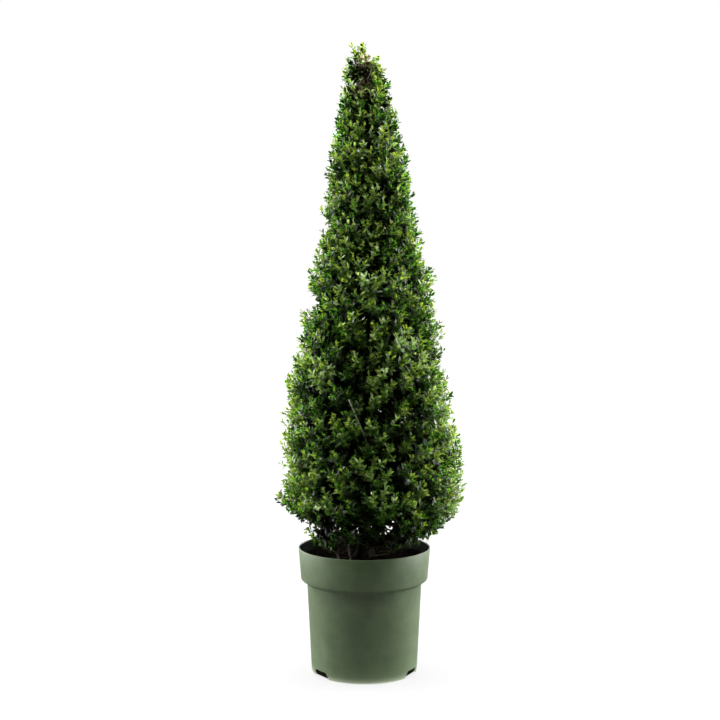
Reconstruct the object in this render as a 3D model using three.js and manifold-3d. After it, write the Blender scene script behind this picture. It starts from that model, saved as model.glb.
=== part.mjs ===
// Japanese holly clipped to a slim cone, growing in a round nursery pot.
// Units are millimetres and +Z is up. The origin is the middle of the pot's flat underside,
// and the side seen first faces -Y.

import * as THREE from 'three';
import { mergeVertices } from 'three/addons/utils/BufferGeometryUtils.js';
import Module from 'manifold-3d';

const wasm = await Module();
wasm.setup();

// Driving dimensions

const GAP = 0.3; // clearance between two pieces that meet
const FINEST = 0.01; // corners nearer than this are one corner
const UP = new THREE.Vector3(0, 0, 1);

const POT = {
  height: 254,
  rimRadius: 133,
  bandFootRadius: 126.5, // lower edge of the wide collar
  bandHeight: 66,
  shoulderHeight: 9, // slope under the collar
  bodyTopRadius: 115.5,
  bodyFootRadius: 106.5,
  footRound: 5,
  wall: 2.6,
  floor: 3.2,
  segments: 48,
};

const DRAIN = {
  count: 3,
  turnDeg: -146, // first drain slot, seen from above from +X
  topWidth: 38,
  footWidth: 60,
  height: 13,
  depth: 20,
};

const SOIL_TOP = 232;

const TRUNK = {
  footRadius: 12.5,
  tipRadius: 2.6,
  tipHeight: 1168,
  flare: 0.75, // extra radius at the soil, as a share of the foot's
  flareHeight: 22,
  buttresses: 5,
  ridgeDepth: 0.35,
  sides: 10,
  steps: 15,
};

// The leader's line: height, then how far it stands off the pot's axis in X and Y
const LEADER = [
  [SOIL_TOP, 0, 0],
  [480, 5, 3],
  [800, 8, -2],
  [1050, 7, 1],
  [1200, -2, 0],
  [1267, -19, -1],
];

// The clipped outline: height, then its reach from the pot's axis to the left and to the right
const OUTLINE = [
  [236, 62, 66],
  [250, 100, 106],
  [263, 113, 122],
  [300, 121, 162],
  [330, 152, 182],
  [349, 178, 195],
  [385, 162, 202],
  [440, 166, 194],
  [507, 165, 182],
  [579, 158, 171],
  [652, 138, 157],
  [724, 127, 140],
  [795, 113, 137],
  [867, 93, 112],
  [950, 80, 98],
  [1044, 68, 84],
  [1138, 48, 56],
  [1205, 41, 39],
  [1232, 28, 12],
  [1267, 29, -9],
];
const LOBE = { share: 0.05, around: 3, height: 60 }; // swells of the clipped face between left and right

// Tiers of foliage from the bottom up: height of the upper edge at the outline, masses, first turn
const TIERS = [
  { name: 'skirt', upTo: 425, masses: 4, turnDeg: -72 },
  { name: 'lower', upTo: 590, masses: 4, turnDeg: -100 },
  { name: 'middle', upTo: 740, masses: 4, turnDeg: -70 },
  { name: 'upper', upTo: 890, masses: 3, turnDeg: -95 },
  { name: 'shoulder', upTo: 1040, masses: 3, turnDeg: -75 },
  { name: 'crest', upTo: 1185, masses: 2, turnDeg: -110 },
  { name: 'tip', upTo: 1278, masses: 1, turnDeg: 180 },
];
const CROWN_FOOT = 175; // level of the crown's underside, where it would meet the leader
const RISE = 0.55; // how steeply the tiers rise outwards

const CORE = {
  innerShare: 0.32, // bare middle, as a share of the reach
  leafZone: 29, // depth of the leafy shell
  leafZoneShare: 0.36, // the same in the narrow top, as a share of the reach
  inset: 2, // distance from the edge of its wedge
  facesAround: 4,
  facesUp: 3,
  rounding: 0.05, // how far its corners are drawn in
  lump: { depth: 7, around: 5, height: 23 }, // dips of its own face
  tipShare: 0.62, // width and height of the topmost heart, as shares of its space
  tipHeightShare: 0.78,
};

const FULL_REACH = 150; // limbs and leaves are smaller where the crown is narrower than this
const LEAST_SLIM = 0.45;

// A bough enters its mass, and the stem inside the mass ends, at these shares of the tier's height
const BOUGH = { rise: 1.15, footRadius: 5.2, tipRadius: 3.4, sides: 6, enterAt: 0.42 };
const STEM = { footRadius: 3.2, tipRadius: 2.2, sides: 5, endAt: 0.62, firstKnot: 0.3, lastKnot: 0.9 };
const FORK = { aroundShare: 0.85, upShare: 0.88, reachShare: 0.6 }; // where a shoot leaves its twig
const SHOOT = {
  footRadius: 3,
  tipRadius: 2.2,
  sides: 3,
  spacing: 92, // between neighbouring shoots on the clipped face
  leastPerMass: 4,
  edge: 12, // from the edge of the mass's wedge
  rootDepth: 3, // how far its end lies inside the core's face
  leafStep: 3, // along the shoot, from one leaf to the next
  leaves: 5, // one straight ahead and the rest set round the shoot by turns
  leafTurnDeg: 97,
  tries: 8, // turns tried, to find the one that fits the most leaves
};
const LEAF = {
  length: 47,
  width: 30,
  thickness: 1.6,
  widest: 0.58, // share of the length
  cup: 2,
  vary: 0.14,
  spreadDeg: [38, 74], // of the leaves set round a shoot
  endScale: 0.75, // the leaf at a shoot's end
  leastScale: 0.55, // in the narrow top
  leastShown: 0.5, // a leaf that stands out of the core by less of its volume is left off
};
const CROWN_TOP = OUTLINE.at(-1)[0];
const OVERHANG = 6; // how far a leaf may stand out of the clipped outline

// Thin bare shoots that come straight out of the soil: foot, tip, and their radii
const BASAL_SHOOTS = [
  { foot: [-47, -72], tip: [-66, -66, 292], footRadius: 2.6, tipRadius: 1.8 },
  { foot: [-27, -66], tip: [-33, -60, 280], footRadius: 2.2, tipRadius: 1.6 },
];

// A bare grey twig that leans across the front of the lower tier: its two ends
const BARE_TWIG = {
  mass: 'foliage_lower_1',
  foot: [20, -126, 447],
  tip: [-30, -148, 568],
  footRadius: 2.2,
  tipRadius: 1.7,
};

const FIRST_SEED = 24;
const SEED_STEP = 17;

const PAINT = {
  pot: { color: 0x66785c, roughness: 0.55 },
  soil: { color: 0x241d18, roughness: 0.95 },
  bark: { color: 0x5d5145, roughness: 0.85 },
  foliage: { color: 0x3d6420, roughness: 0.5 },
};

// Seeded numbers from 0 to 1, so that the plant grows the same way each time
function seededRandom(seed) {
  let state = seed >>> 0;
  return () => {
    state = (state + 0x6d2b79f5) >>> 0;
    let mixed = Math.imul(state ^ (state >>> 15), state | 1);
    mixed ^= mixed + Math.imul(mixed ^ (mixed >>> 7), mixed | 61);
    return ((mixed ^ (mixed >>> 14)) >>> 0) / 4294967296;
  };
}

// Solids and meshes

function solidOf(geometry, finest = 1e-4) {
  const bare = geometry.index ? geometry.toNonIndexed() : geometry.clone();
  bare.deleteAttribute('normal');
  bare.deleteAttribute('uv');
  const merged = mergeVertices(bare, finest);
  const corners = merged.index.array;
  const kept = [];
  for (let i = 0; i < corners.length; i += 3) {
    const [a, b, c] = [corners[i], corners[i + 1], corners[i + 2]];
    if (a !== b && b !== c && c !== a) kept.push(a, b, c);
  }
  return new wasm.Manifold(
    new wasm.Mesh({
      numProp: 3,
      vertProperties: merged.attributes.position.array,
      triVerts: new Uint32Array(kept),
    }),
  );
}

function geometryOf(solid) {
  const mesh = solid.getMesh();
  const geometry = new THREE.BufferGeometry();
  geometry.setAttribute('position', new THREE.BufferAttribute(new Float32Array(mesh.vertProperties), 3));
  geometry.setIndex(new THREE.BufferAttribute(new Uint32Array(mesh.triVerts), 1));
  geometry.computeVertexNormals();
  return geometry;
}

function largestBody(solid) {
  return solid.decompose().reduce((largest, body) => (body.volume() > largest.volume() ? body : largest));
}

// One clean body: corners that nearly meet are merged, sealed hollows filled and loose scraps dropped
function settle(solid) {
  return largestBody(solidOf(geometryOf(largestBody(solid)), FINEST));
}

function addPiece(group, name, solid, paint) {
  const material = new THREE.MeshStandardMaterial({ ...paint, metalness: 0 });
  const mesh = new THREE.Mesh(geometryOf(solid), material);
  mesh.name = name;
  group.add(mesh);
}

// A tapering limb whose rings lie square to one direction and follow a centre line
function limb({ centreAt, radiusAt, square, sides, steps }) {
  const geometry = new THREE.CylinderGeometry(1, 1, 1, sides, steps).rotateX(Math.PI / 2);
  const turn = new THREE.Quaternion().setFromUnitVectors(UP, square);
  const places = geometry.attributes.position;
  const spoke = new THREE.Vector3();
  for (let i = 0; i < places.count; i++) {
    spoke.fromBufferAttribute(places, i);
    const along = THREE.MathUtils.clamp(spoke.z + 0.5, 0, 1);
    spoke.setZ(0);
    const radius = radiusAt(along, Math.atan2(spoke.y, spoke.x));
    spoke.multiplyScalar(radius).applyQuaternion(turn).add(centreAt(along));
    places.setXYZ(i, spoke.x, spoke.y, spoke.z);
  }
  return solidOf(geometry);
}

function straightLimb(foot, tip, footRadius, tipRadius, sides) {
  return limb({
    centreAt: (along) => foot.clone().lerp(tip, along),
    radiusAt: (along) => THREE.MathUtils.lerp(footRadius, tipRadius, along),
    square: tip.clone().sub(foot).normalize(),
    sides,
    steps: 1,
  });
}

function lathed(profile) {
  const points = profile.map(([radius, height]) => new THREE.Vector2(radius, height));
  return new THREE.LatheGeometry(points, POT.segments).rotateX(Math.PI / 2);
}

// Pot and soil

const BAND_FOOT = POT.height - POT.bandHeight;
const BODY_TOP = BAND_FOOT - POT.shoulderHeight;

// The pot's outer wall above its rounded foot, as radius and height
const WALL_LINE = [
  [POT.bodyFootRadius, POT.footRound],
  [POT.bodyTopRadius, BODY_TOP],
  [POT.bandFootRadius, BAND_FOOT],
  [POT.rimRadius, POT.height],
];

function wallRadiusAt(height) {
  const above = WALL_LINE.findIndex(([, top]) => top >= height);
  const [r1, z1] = WALL_LINE[Math.max(above, 1)];
  const [r0, z0] = WALL_LINE[Math.max(above, 1) - 1];
  return THREE.MathUtils.mapLinear(height, z0, z1, r0, r1);
}

function insideLine(clearance, foot, top) {
  const bends = [foot, BODY_TOP, BAND_FOOT, top];
  return bends.map((height) => [wallRadiusAt(height) - POT.wall - clearance, height]);
}

function drainSlot(index) {
  const { topWidth, footWidth, height, depth } = DRAIN;
  const below = 1;
  const outline = new THREE.Shape([
    new THREE.Vector2(-footWidth / 2, -below),
    new THREE.Vector2(footWidth / 2, -below),
    new THREE.Vector2(topWidth / 2, height),
    new THREE.Vector2(-topWidth / 2, height),
  ]);
  const angle = THREE.MathUtils.degToRad(DRAIN.turnDeg) + (index * 2 * Math.PI) / DRAIN.count;
  const slot = new THREE.ExtrudeGeometry(outline, { depth: 2 * depth, bevelEnabled: false });
  slot.rotateX(Math.PI / 2).translate(0, depth, 0).rotateZ(angle + Math.PI / 2);
  slot.translate(Math.cos(angle) * POT.bodyFootRadius, Math.sin(angle) * POT.bodyFootRadius, 0);
  return solidOf(slot);
}

function makePot() {
  const outside = [[0, 0], [POT.bodyFootRadius - POT.footRound, 0], ...WALL_LINE];
  const inside = insideLine(0, POT.floor, POT.height).reverse();
  const shell = solidOf(lathed([...outside, ...inside, [0, POT.floor]]));
  const slots = Array.from({ length: DRAIN.count }, (_, index) => drainSlot(index));
  return shell.subtract(wasm.Manifold.union(slots));
}

function makeSoil() {
  const foot = POT.floor + GAP;
  return solidOf(lathed([[0, foot], ...insideLine(GAP, foot, SOIL_TOP), [0, SOIL_TOP]]));
}

// The crown's frame: everything is measured round the leader

const leaderLine = new THREE.CubicInterpolant(
  LEADER.map(([height]) => height),
  LEADER.flatMap(([, x, y]) => [x, y]),
  2,
);
const outlineLine = new THREE.LinearInterpolant(
  OUTLINE.map(([height]) => height),
  OUTLINE.flatMap(([, left, right]) => [left, right]),
  2,
);

function leaderAt(height) {
  const [x, y] = leaderLine.evaluate(height);
  return new THREE.Vector3(x, y, height);
}

// How far the clipped face stands from the leader, at a turn round it
function reachAt(turn, height) {
  const [left, right] = outlineLine.evaluate(THREE.MathUtils.clamp(height, OUTLINE[0][0], CROWN_TOP));
  const lean = leaderAt(height).x;
  const even = (left + right) / 2;
  const skew = (right - left) / 2 - lean;
  const swell = LOBE.share * Math.sin(turn) ** 2 * Math.sin(LOBE.around * turn + height / LOBE.height);
  return (even + skew * Math.cos(turn)) * (1 + swell);
}

// A point from its turn, its radius and its level, which is the height less the tier's rise
function crownPoint(turn, radius, level) {
  const height = level + RISE * radius;
  return leaderAt(height).add(new THREE.Vector3(Math.cos(turn) * radius, Math.sin(turn) * radius, 0));
}

function crownPlace(point) {
  const off = point.clone().sub(leaderAt(point.z));
  const radius = Math.hypot(off.x, off.y);
  return { turn: Math.atan2(off.y, off.x), radius, level: point.z - RISE * radius };
}

// Where a level meets the clipped face
function outerRadius(turn, level) {
  let radius = 100;
  const rounds = 40;
  for (let i = 0; i < rounds; i++) {
    radius = (radius + Math.max(reachAt(turn, level + RISE * radius), 0)) / 2;
  }
  return radius;
}

function leafZoneAt(reach) {
  return Math.min(CORE.leafZone, CORE.leafZoneShare * reach);
}

function levelOfEdge(height) {
  return height - RISE * reachAt(Math.PI / 2, height);
}

function turnBetween(a, b) {
  return Math.atan2(Math.sin(a - b), Math.cos(a - b));
}

// Trunk and boughs

function makeTrunk(clearance) {
  const { footRadius, tipRadius, flare, flareHeight, buttresses, ridgeDepth, sides, steps } = TRUNK;
  const height = TRUNK.tipHeight - SOIL_TOP + clearance;
  const spread = (along) => along ** 1.5; // rings stand closer together at the flare
  return limb({
    centreAt: (along) => leaderAt(SOIL_TOP + spread(along) * height),
    radiusAt: (along, angle) => {
      const share = spread(along);
      const foot = flare * Math.exp((-share * height) / flareHeight);
      const ridge = 1 + ridgeDepth * foot * Math.cos(buttresses * angle);
      return THREE.MathUtils.lerp(footRadius, tipRadius, share) * (1 + foot) * ridge + clearance;
    },
    square: UP,
    sides,
    steps,
  });
}

// The bough of a mass runs from inside the leader to the mass's bare middle
function boughEnds(space) {
  const level = THREE.MathUtils.lerp(space.low, space.high, BOUGH.enterAt);
  const radius = outerRadius(space.turn, level) * CORE.innerShare;
  const tip = crownPoint(space.turn, radius, level);
  const lowest = SOIL_TOP + 2 * BOUGH.footRadius;
  const foot = leaderAt(Math.max(tip.z - BOUGH.rise * radius, lowest));
  return { foot, tip, ahead: tip.clone().sub(foot).normalize() };
}

function makeBough(space, clearance) {
  const { foot, tip, ahead } = boughEnds(space);
  const end = tip.clone().addScaledVector(ahead, clearance);
  const radii = [BOUGH.footRadius, BOUGH.tipRadius].map((radius) => radius * space.slim + clearance);
  return straightLimb(foot, end, ...radii, BOUGH.sides);
}

function makeBasalShoot({ foot, tip, footRadius, tipRadius }, clearance) {
  const [x, y] = foot;
  const start = new THREE.Vector3(x, y, SOIL_TOP);
  const end = new THREE.Vector3(...tip);
  return limb({
    centreAt: (along) => start.clone().lerp(end, along),
    radiusAt: (along) => THREE.MathUtils.lerp(footRadius, tipRadius, along) + clearance,
    square: UP,
    sides: BOUGH.sides,
    steps: 1,
  });
}

// Foliage masses

// The wedge round the leader that a mass keeps to
function makeSpace(tier, low, high, index) {
  const half = Math.PI / tier.masses;
  const turn = THREE.MathUtils.degToRad(tier.turnDeg) + 2 * half * index;
  const whole = tier.masses === 1;
  const name = whole ? tier.name : `${tier.name}_${index + 1}`;
  const slim = THREE.MathUtils.clamp(outerRadius(turn, (low + high) / 2) / FULL_REACH, LEAST_SLIM, 1);
  return { name, low, high, half, turn, whole, slim };
}

function keepsInside(space, point) {
  const margin = 1.4;
  const { turn, radius, level } = crownPlace(point);
  if (level < space.low + margin || level > space.high - margin) return false;
  if (point.z < SOIL_TOP + margin || radius > reachAt(turn, point.z) + OVERHANG) return false;
  if (space.whole) return true;
  const aside = space.half - Math.abs(turnBetween(turn, space.turn));
  return aside > 0 && radius * Math.sin(Math.min(aside, Math.PI / 2)) > margin;
}

// Corners of a geometry and the middles of its edges
function samplePoints(geometry) {
  const places = geometry.attributes.position;
  const corners = Array.from({ length: places.count }, (_, i) =>
    new THREE.Vector3().fromBufferAttribute(places, i),
  );
  const next = (i) => corners[i % 3 === 2 ? i - 2 : i + 1];
  const middles = corners.map((corner, i) => corner.clone().lerp(next(i), 0.5));
  return [...corners, ...middles];
}

function makeTipCore(space) {
  const heart = new THREE.IcosahedronGeometry(1, 1);
  const places = heart.attributes.position;
  const height = (CROWN_TOP - space.low) * CORE.tipHeightShare;
  for (let i = 0; i < places.count; i++) {
    const [x, y, z] = [places.getX(i), places.getY(i), places.getZ(i)];
    const turn = Math.atan2(y, x);
    const level = space.low + CORE.inset + ((z + 1) / 2) * height;
    const radius = Math.hypot(x, y) * CORE.tipShare * outerRadius(turn, level);
    const place = crownPoint(turn, radius, level);
    places.setXYZ(i, place.x, place.y, place.z);
  }
  return solidOf(heart);
}

// The dense heart of a clipped mass: a block with drawn-in corners, bent to its wedge
function makeCore(space) {
  if (space.whole) return makeTipCore(space);
  const block = new THREE.BoxGeometry(2, 2, 2, 1, CORE.facesAround, CORE.facesUp);
  const places = block.attributes.position;
  const p = new THREE.Vector3();
  const middle = (space.low + space.high) / 2;
  for (let i = 0; i < places.count; i++) {
    p.fromBufferAttribute(places, i);
    p.multiplyScalar(1 - (CORE.rounding * (p.length() - 1)) / (Math.sqrt(3) - 1));
    const level = middle + p.z * ((space.high - space.low) / 2 - CORE.inset);
    const share = CORE.innerShare + ((1 - CORE.innerShare) * (p.x + 1)) / 2;
    const half = space.half - CORE.inset / (share * outerRadius(space.turn, level));
    const turn = space.turn + p.y * Math.max(half, 0);
    const reach = outerRadius(turn, level);
    const { depth, around, height } = CORE.lump;
    const lump = p.x > 0 ? depth * Math.sin(around * turn + level / height) : 0;
    const outer = reach - leafZoneAt(reach) + lump * space.slim;
    const place = crownPoint(turn, share * outer, level);
    places.setXYZ(i, place.x, place.y, Math.max(place.z, SOIL_TOP + CORE.inset));
  }
  return solidOf(block.toNonIndexed());
}

function leafGeometry(length) {
  const { width, thickness, widest, cup } = LEAF;
  const scale = length / LEAF.length;
  const blade = new THREE.OctahedronGeometry(1).scale(length / 2, (width * scale) / 2, thickness / 2);
  const places = blade.attributes.position;
  for (let i = 0; i < places.count; i++) {
    const side = Math.abs(places.getY(i)) / ((width * scale) / 2);
    places.setX(i, places.getX(i) + side * (widest - 0.5) * length);
    places.setZ(i, places.getZ(i) + side * cup);
  }
  return blade.translate(length / 2, 0, 0);
}

// A leaf that leaves a shoot at a place, pointing one way, with its face turned to another
function placeLeaf(root, ahead, faceTo, length) {
  const across = new THREE.Vector3().crossVectors(faceTo, ahead).normalize();
  const face = new THREE.Vector3().crossVectors(ahead, across);
  const frame = new THREE.Matrix4().makeBasis(ahead, across, face).setPosition(root);
  return leafGeometry(length).applyMatrix4(frame);
}

function boxesMeet(a, b) {
  return [0, 1, 2].every((axis) => a.min[axis] < b.max[axis] && b.min[axis] < a.max[axis]);
}

// True where a leaf would run into leaves already grown
function runsInto(leaf, grown) {
  const box = leaf.boundingBox();
  return grown.some((other) => boxesMeet(box, other.boundingBox()) && !leaf.intersect(other).isEmpty());
}

// One shoot, with one leaf straight ahead and the rest opened out round it by turns
function growShoot(space, core, foot, target, grown, random) {
  const ahead = target.clone().sub(foot).normalize();
  const scale = Math.max(space.slim, LEAF.leastScale);
  const zone = leafZoneAt(crownPlace(target).radius) + SHOOT.rootDepth;
  const depth = Math.max(zone, LEAF.length * scale * LEAF.endScale);
  const tip = target.clone().addScaledVector(ahead, -depth);
  const side = new THREE.Vector3().crossVectors(ahead, UP).normalize();
  const forms = Array.from({ length: SHOOT.leaves }, (_, index) => ({
    root: tip.clone().addScaledVector(ahead, -index * SHOOT.leafStep),
    spread: index ? THREE.MathUtils.degToRad(THREE.MathUtils.lerp(...LEAF.spreadDeg, random())) : 0,
    length: index ? LEAF.length * scale * (1 + LEAF.vary * (2 * random() - 1)) : depth,
    turn: index * THREE.MathUtils.degToRad(SHOOT.leafTurnDeg),
  }));
  const firstTurn = random() * 2 * Math.PI;
  let best = [];
  for (let attempt = 0; attempt < SHOOT.tries; attempt++) {
    const leaves = [];
    for (const { root, spread, length, turn } of forms) {
      const turned = firstTurn + turn + (attempt * 2 * Math.PI) / SHOOT.tries;
      const out = side.clone().applyAxisAngle(ahead, turned);
      const way = ahead.clone().multiplyScalar(Math.cos(spread)).addScaledVector(out, Math.sin(spread));
      const blade = placeLeaf(root, way, spread ? ahead : UP, length);
      if (!samplePoints(blade).every((point) => keepsInside(space, point))) continue;
      const whole = solidOf(blade);
      const shown = whole.subtract(core);
      if (shown.volume() < LEAF.leastShown * whole.volume()) continue;
      if (!runsInto(shown, [...grown, ...leaves].map((leaf) => leaf.shown))) leaves.push({ whole, shown });
    }
    if (leaves.length > best.length) best = leaves;
  }
  grown.push(...best);
  return straightLimb(foot, tip, SHOOT.footRadius, SHOOT.tipRadius, SHOOT.sides);
}

function aboveSoil(point) {
  return point.setZ(Math.max(point.z, SOIL_TOP + SHOOT.edge));
}

const PLASTIC = 1.32471795724; // its powers spread points evenly over a face

// Where shoots come out, spread evenly over the mass's outer face by a plastic-number sequence
function shootPlaces(space, random) {
  const radius = outerRadius(space.turn, (space.low + space.high) / 2);
  const width = 2 * space.half * radius;
  const height = space.high - space.low;
  const spacing = SHOOT.spacing * Math.sqrt(Math.max(space.slim, LEAF.leastScale));
  const count = Math.max(SHOOT.leastPerMass, Math.round((width * height) / spacing ** 2));
  const edgeAround = SHOOT.edge / width;
  const edgeUp = SHOOT.edge / height;
  const start = [random(), random()];
  return Array.from({ length: count }, (_, i) => {
    const across = THREE.MathUtils.lerp(edgeAround, 1 - edgeAround, (start[0] + i / PLASTIC) % 1);
    const up = THREE.MathUtils.lerp(edgeUp, 1 - edgeUp, (start[1] + i / PLASTIC ** 2) % 1);
    const turn = space.turn + (2 * across - 1) * space.half;
    const level = THREE.MathUtils.lerp(space.low, space.high, up);
    return { up, turn, level, target: aboveSoil(crownPoint(turn, outerRadius(turn, level), level)) };
  });
}

// Where a shoot forks off inside the core, so that it comes out nearly square to the clipped face
function forkOf(space, { turn, level }) {
  const around = THREE.MathUtils.lerp(space.turn, turn, FORK.aroundShare);
  const under = THREE.MathUtils.lerp(space.low, level, FORK.upShare);
  return aboveSoil(crownPoint(around, outerRadius(around, under) * FORK.reachShare, under));
}

function makeBareTwig() {
  const foot = new THREE.Vector3(...BARE_TWIG.foot);
  const tip = new THREE.Vector3(...BARE_TWIG.tip);
  return straightLimb(foot, tip, BARE_TWIG.footRadius, BARE_TWIG.tipRadius, SHOOT.sides);
}

// The stem of a mass goes on from its bough, or from the leader's tip, and carries every shoot
function stemEnds(space) {
  if (space.whole) {
    const foot = leaderAt(TRUNK.tipHeight).addScaledVector(UP, GAP);
    return { foot, tip: leaderAt(CROWN_TOP - LEAF.length * LEAF.endScale) };
  }
  const { tip: boughTip, ahead } = boughEnds(space);
  const foot = boughTip.clone().addScaledVector(ahead, GAP);
  const level = THREE.MathUtils.lerp(space.low, space.high, STEM.endAt);
  const radius = outerRadius(space.turn, level) - LEAF.length;
  return { foot, tip: crownPoint(space.turn, radius, level) };
}

function makeFoliage(space, seed, limbs) {
  const random = seededRandom(seed);
  const name = `foliage_${space.name}`;
  const { foot, tip } = stemEnds(space);
  const radii = [STEM.footRadius, STEM.tipRadius].map((radius) => radius * space.slim);
  const stem = straightLimb(foot, tip, ...radii, STEM.sides);
  const core = makeCore(space);
  const solids = [core, stem];
  const leaves = [];
  for (const place of shootPlaces(space, random)) {
    const knot = foot.clone().lerp(tip, THREE.MathUtils.lerp(STEM.firstKnot, STEM.lastKnot, place.up));
    const fork = space.whole ? knot : forkOf(space, place);
    const { footRadius, sides } = SHOOT;
    if (!space.whole) solids.push(straightLimb(knot, fork, footRadius, footRadius, sides));
    solids.push(growShoot(space, core, fork, place.target, leaves, random));
  }
  if (space.whole) solids.push(growShoot(space, core, foot, leaderAt(CROWN_TOP), leaves, random));
  if (name === BARE_TWIG.mass) solids.push(makeBareTwig());
  const grown = wasm.Manifold.union([...solids, ...leaves.map((leaf) => leaf.whole)]);
  return settle(grown.subtract(limbs));
}

// Assembly

function makePlant() {
  const plant = new THREE.Group();
  addPiece(plant, 'pot', makePot(), PAINT.pot);
  addPiece(plant, 'soil', makeSoil(), PAINT.soil);
  addPiece(plant, 'trunk', makeTrunk(0), PAINT.bark);
  const clearTrunk = makeTrunk(GAP);
  const clearShoots = BASAL_SHOOTS.map((shoot) => makeBasalShoot(shoot, GAP));
  BASAL_SHOOTS.forEach((shoot, i) => {
    addPiece(plant, `basal_shoot_${i + 1}`, makeBasalShoot(shoot, 0), PAINT.bark);
  });
  let low = CROWN_FOOT;
  let seed = FIRST_SEED;
  for (const tier of TIERS) {
    const high = levelOfEdge(tier.upTo);
    for (let index = 0; index < tier.masses; index++) {
      const space = makeSpace(tier, low, high, index);
      const limbs = [clearTrunk, ...clearShoots];
      if (!space.whole) {
        const bough = largestBody(makeBough(space, 0).subtract(clearTrunk));
        addPiece(plant, `bough_${space.name}`, bough, PAINT.bark);
        limbs.push(makeBough(space, GAP));
      }
      const foliage = makeFoliage(space, seed, wasm.Manifold.union(limbs));
      addPiece(plant, `foliage_${space.name}`, foliage, PAINT.foliage);
      seed += SEED_STEP;
    }
    low = high;
  }
  return plant;
}

export default makePlant();
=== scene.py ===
"""Looks of the potted Japanese holly cone: moulded pot, potting mix, bark, twigs and leaves.

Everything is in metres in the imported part's frame: +Z is up, the origin is the middle of the pot's
flat underside, and the side seen first faces -Y. The crown grows by the rule of the part's source,
carried on to finer twigs and to leaves of natural size.
"""

import logging
import math
from collections.abc import Callable, Sequence
from dataclasses import dataclass
from enum import Enum, IntEnum

import bmesh
import bpy
import numpy as np
from mathutils import Matrix, Vector, noise


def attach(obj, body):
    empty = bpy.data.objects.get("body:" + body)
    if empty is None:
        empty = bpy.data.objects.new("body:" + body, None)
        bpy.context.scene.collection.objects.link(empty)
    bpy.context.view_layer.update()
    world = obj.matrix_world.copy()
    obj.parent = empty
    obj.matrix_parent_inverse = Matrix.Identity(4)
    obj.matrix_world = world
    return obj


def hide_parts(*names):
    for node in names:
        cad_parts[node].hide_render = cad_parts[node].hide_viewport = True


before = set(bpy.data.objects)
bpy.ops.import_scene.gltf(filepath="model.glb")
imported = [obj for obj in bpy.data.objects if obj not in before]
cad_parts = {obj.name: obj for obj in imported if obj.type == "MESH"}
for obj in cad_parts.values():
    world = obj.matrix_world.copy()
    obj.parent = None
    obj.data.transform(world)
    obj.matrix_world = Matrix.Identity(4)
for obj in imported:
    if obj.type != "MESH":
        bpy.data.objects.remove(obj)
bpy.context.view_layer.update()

LOG = logging.getLogger("holly_cone")
BODY = "root"

Points = np.ndarray
Socket = bpy.types.NodeSocket
Colour = tuple[float, float, float]
Place = tuple[float, float, float]
Knot = tuple[float, float, float]  # a height and two sizes there
Range = tuple[float, float]
Line = tuple[Range, ...]  # radii and heights
UP = np.array((0.0, 0.0, 1.0))
FULL_TURN = 2 * math.pi
GOLDEN_TURN = math.radians(137.5)  # from one leaf to the next round a shoot
PLASTIC = 1.32471795724  # its powers spread points evenly over a face
SAME = 1e-6  # points closer than this are one
NEAR = 1e-5  # how closely a vertex is looked up by its place
TINY = 1e-12  # keeps a vector without length from a division by nothing
NOISE_RANGE: Range = (0.3, 0.7)  # where most values of a noise lie
WHITE = (1.0, 1.0, 1.0, 1.0)


class Slot(Enum):
    """The record's material slots."""

    POT = "pot_plastic"
    SOIL = "potting_mix"
    BARK = "bark"
    FOLIAGE = "foliage"


class PotSide(IntEnum):
    """The pot's faces; the number is the material slot on its piece."""

    OUTSIDE = 0
    INSIDE = 1


class LeafTint(IntEnum):
    """Leaf colours, dealt out by spray; the number is the material slot on a leaf piece."""

    DEEP = 0
    DARK = 1
    MID = 2
    FRESH = 3
    LIME = 4
    PALE = 5
    BRONZE = 6
    DRY = 7


class WoodTint(IntEnum):
    """Twig colours; the number is the material slot on a twig piece."""

    OLD = 0
    YOUNG = 1
    GREEN = 2
    BARE = 3


# Small helpers


def unit(vectors: Points) -> Points:
    """Vectors of length one."""
    return vectors / np.maximum(np.linalg.norm(vectors, axis=-1, keepdims=True), TINY)


def mix(start: Points, end: Points, share: Points) -> Points:
    """The values that lie a share of the way from start to end."""
    return start + (end - start) * share


def bezier(start: Points, aim: Points, end: Points, share: Points) -> Points:
    """Points on quadratic curves.

    Args:
        start: Where each curve starts, shape (n, 3).
        aim: The point that each curve bends towards.
        end: Where each curve ends.
        share: How far along, shape (n, k).

    Returns:
        The points, shape (n, k, 3).
    """
    s = share[..., None]
    return (1 - s) ** 2 * start[:, None] + 2 * s * (1 - s) * aim[:, None] + s**2 * end[:, None]


def bezier_way(start: Points, aim: Points, end: Points, share: Points) -> Points:
    """The unit directions of the same curves at the same shares."""
    s = share[..., None]
    return unit((1 - s) * (aim - start)[:, None] + s * (end - aim)[:, None])


def link(mesh: bpy.types.Mesh, materials: Sequence[bpy.types.Material]) -> bpy.types.Object:
    """Puts a mesh into the scene as an object at the origin.

    Args:
        mesh: The finished mesh, whose name the object takes.
        materials: Its material slots in order.

    Returns:
        The new object.
    """
    for material in materials:
        mesh.materials.append(material)
    piece = bpy.data.objects.new(mesh.name, mesh)
    bpy.context.scene.collection.objects.link(piece)
    return piece


def seat(piece: bpy.types.Object, slot: Slot, *nodes: str) -> None:
    """Lets a piece ride with the part and stand for CAD nodes.

    Args:
        piece: The finished piece.
        slot: The record's slot for its finish; not used.
        nodes: The CAD nodes that it replaces.
    """
    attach(piece, BODY)
    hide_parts(*nodes)
    LOG.info("%s: %d faces, for %s", piece.name, len(piece.data.polygons), ", ".join(nodes))


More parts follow.
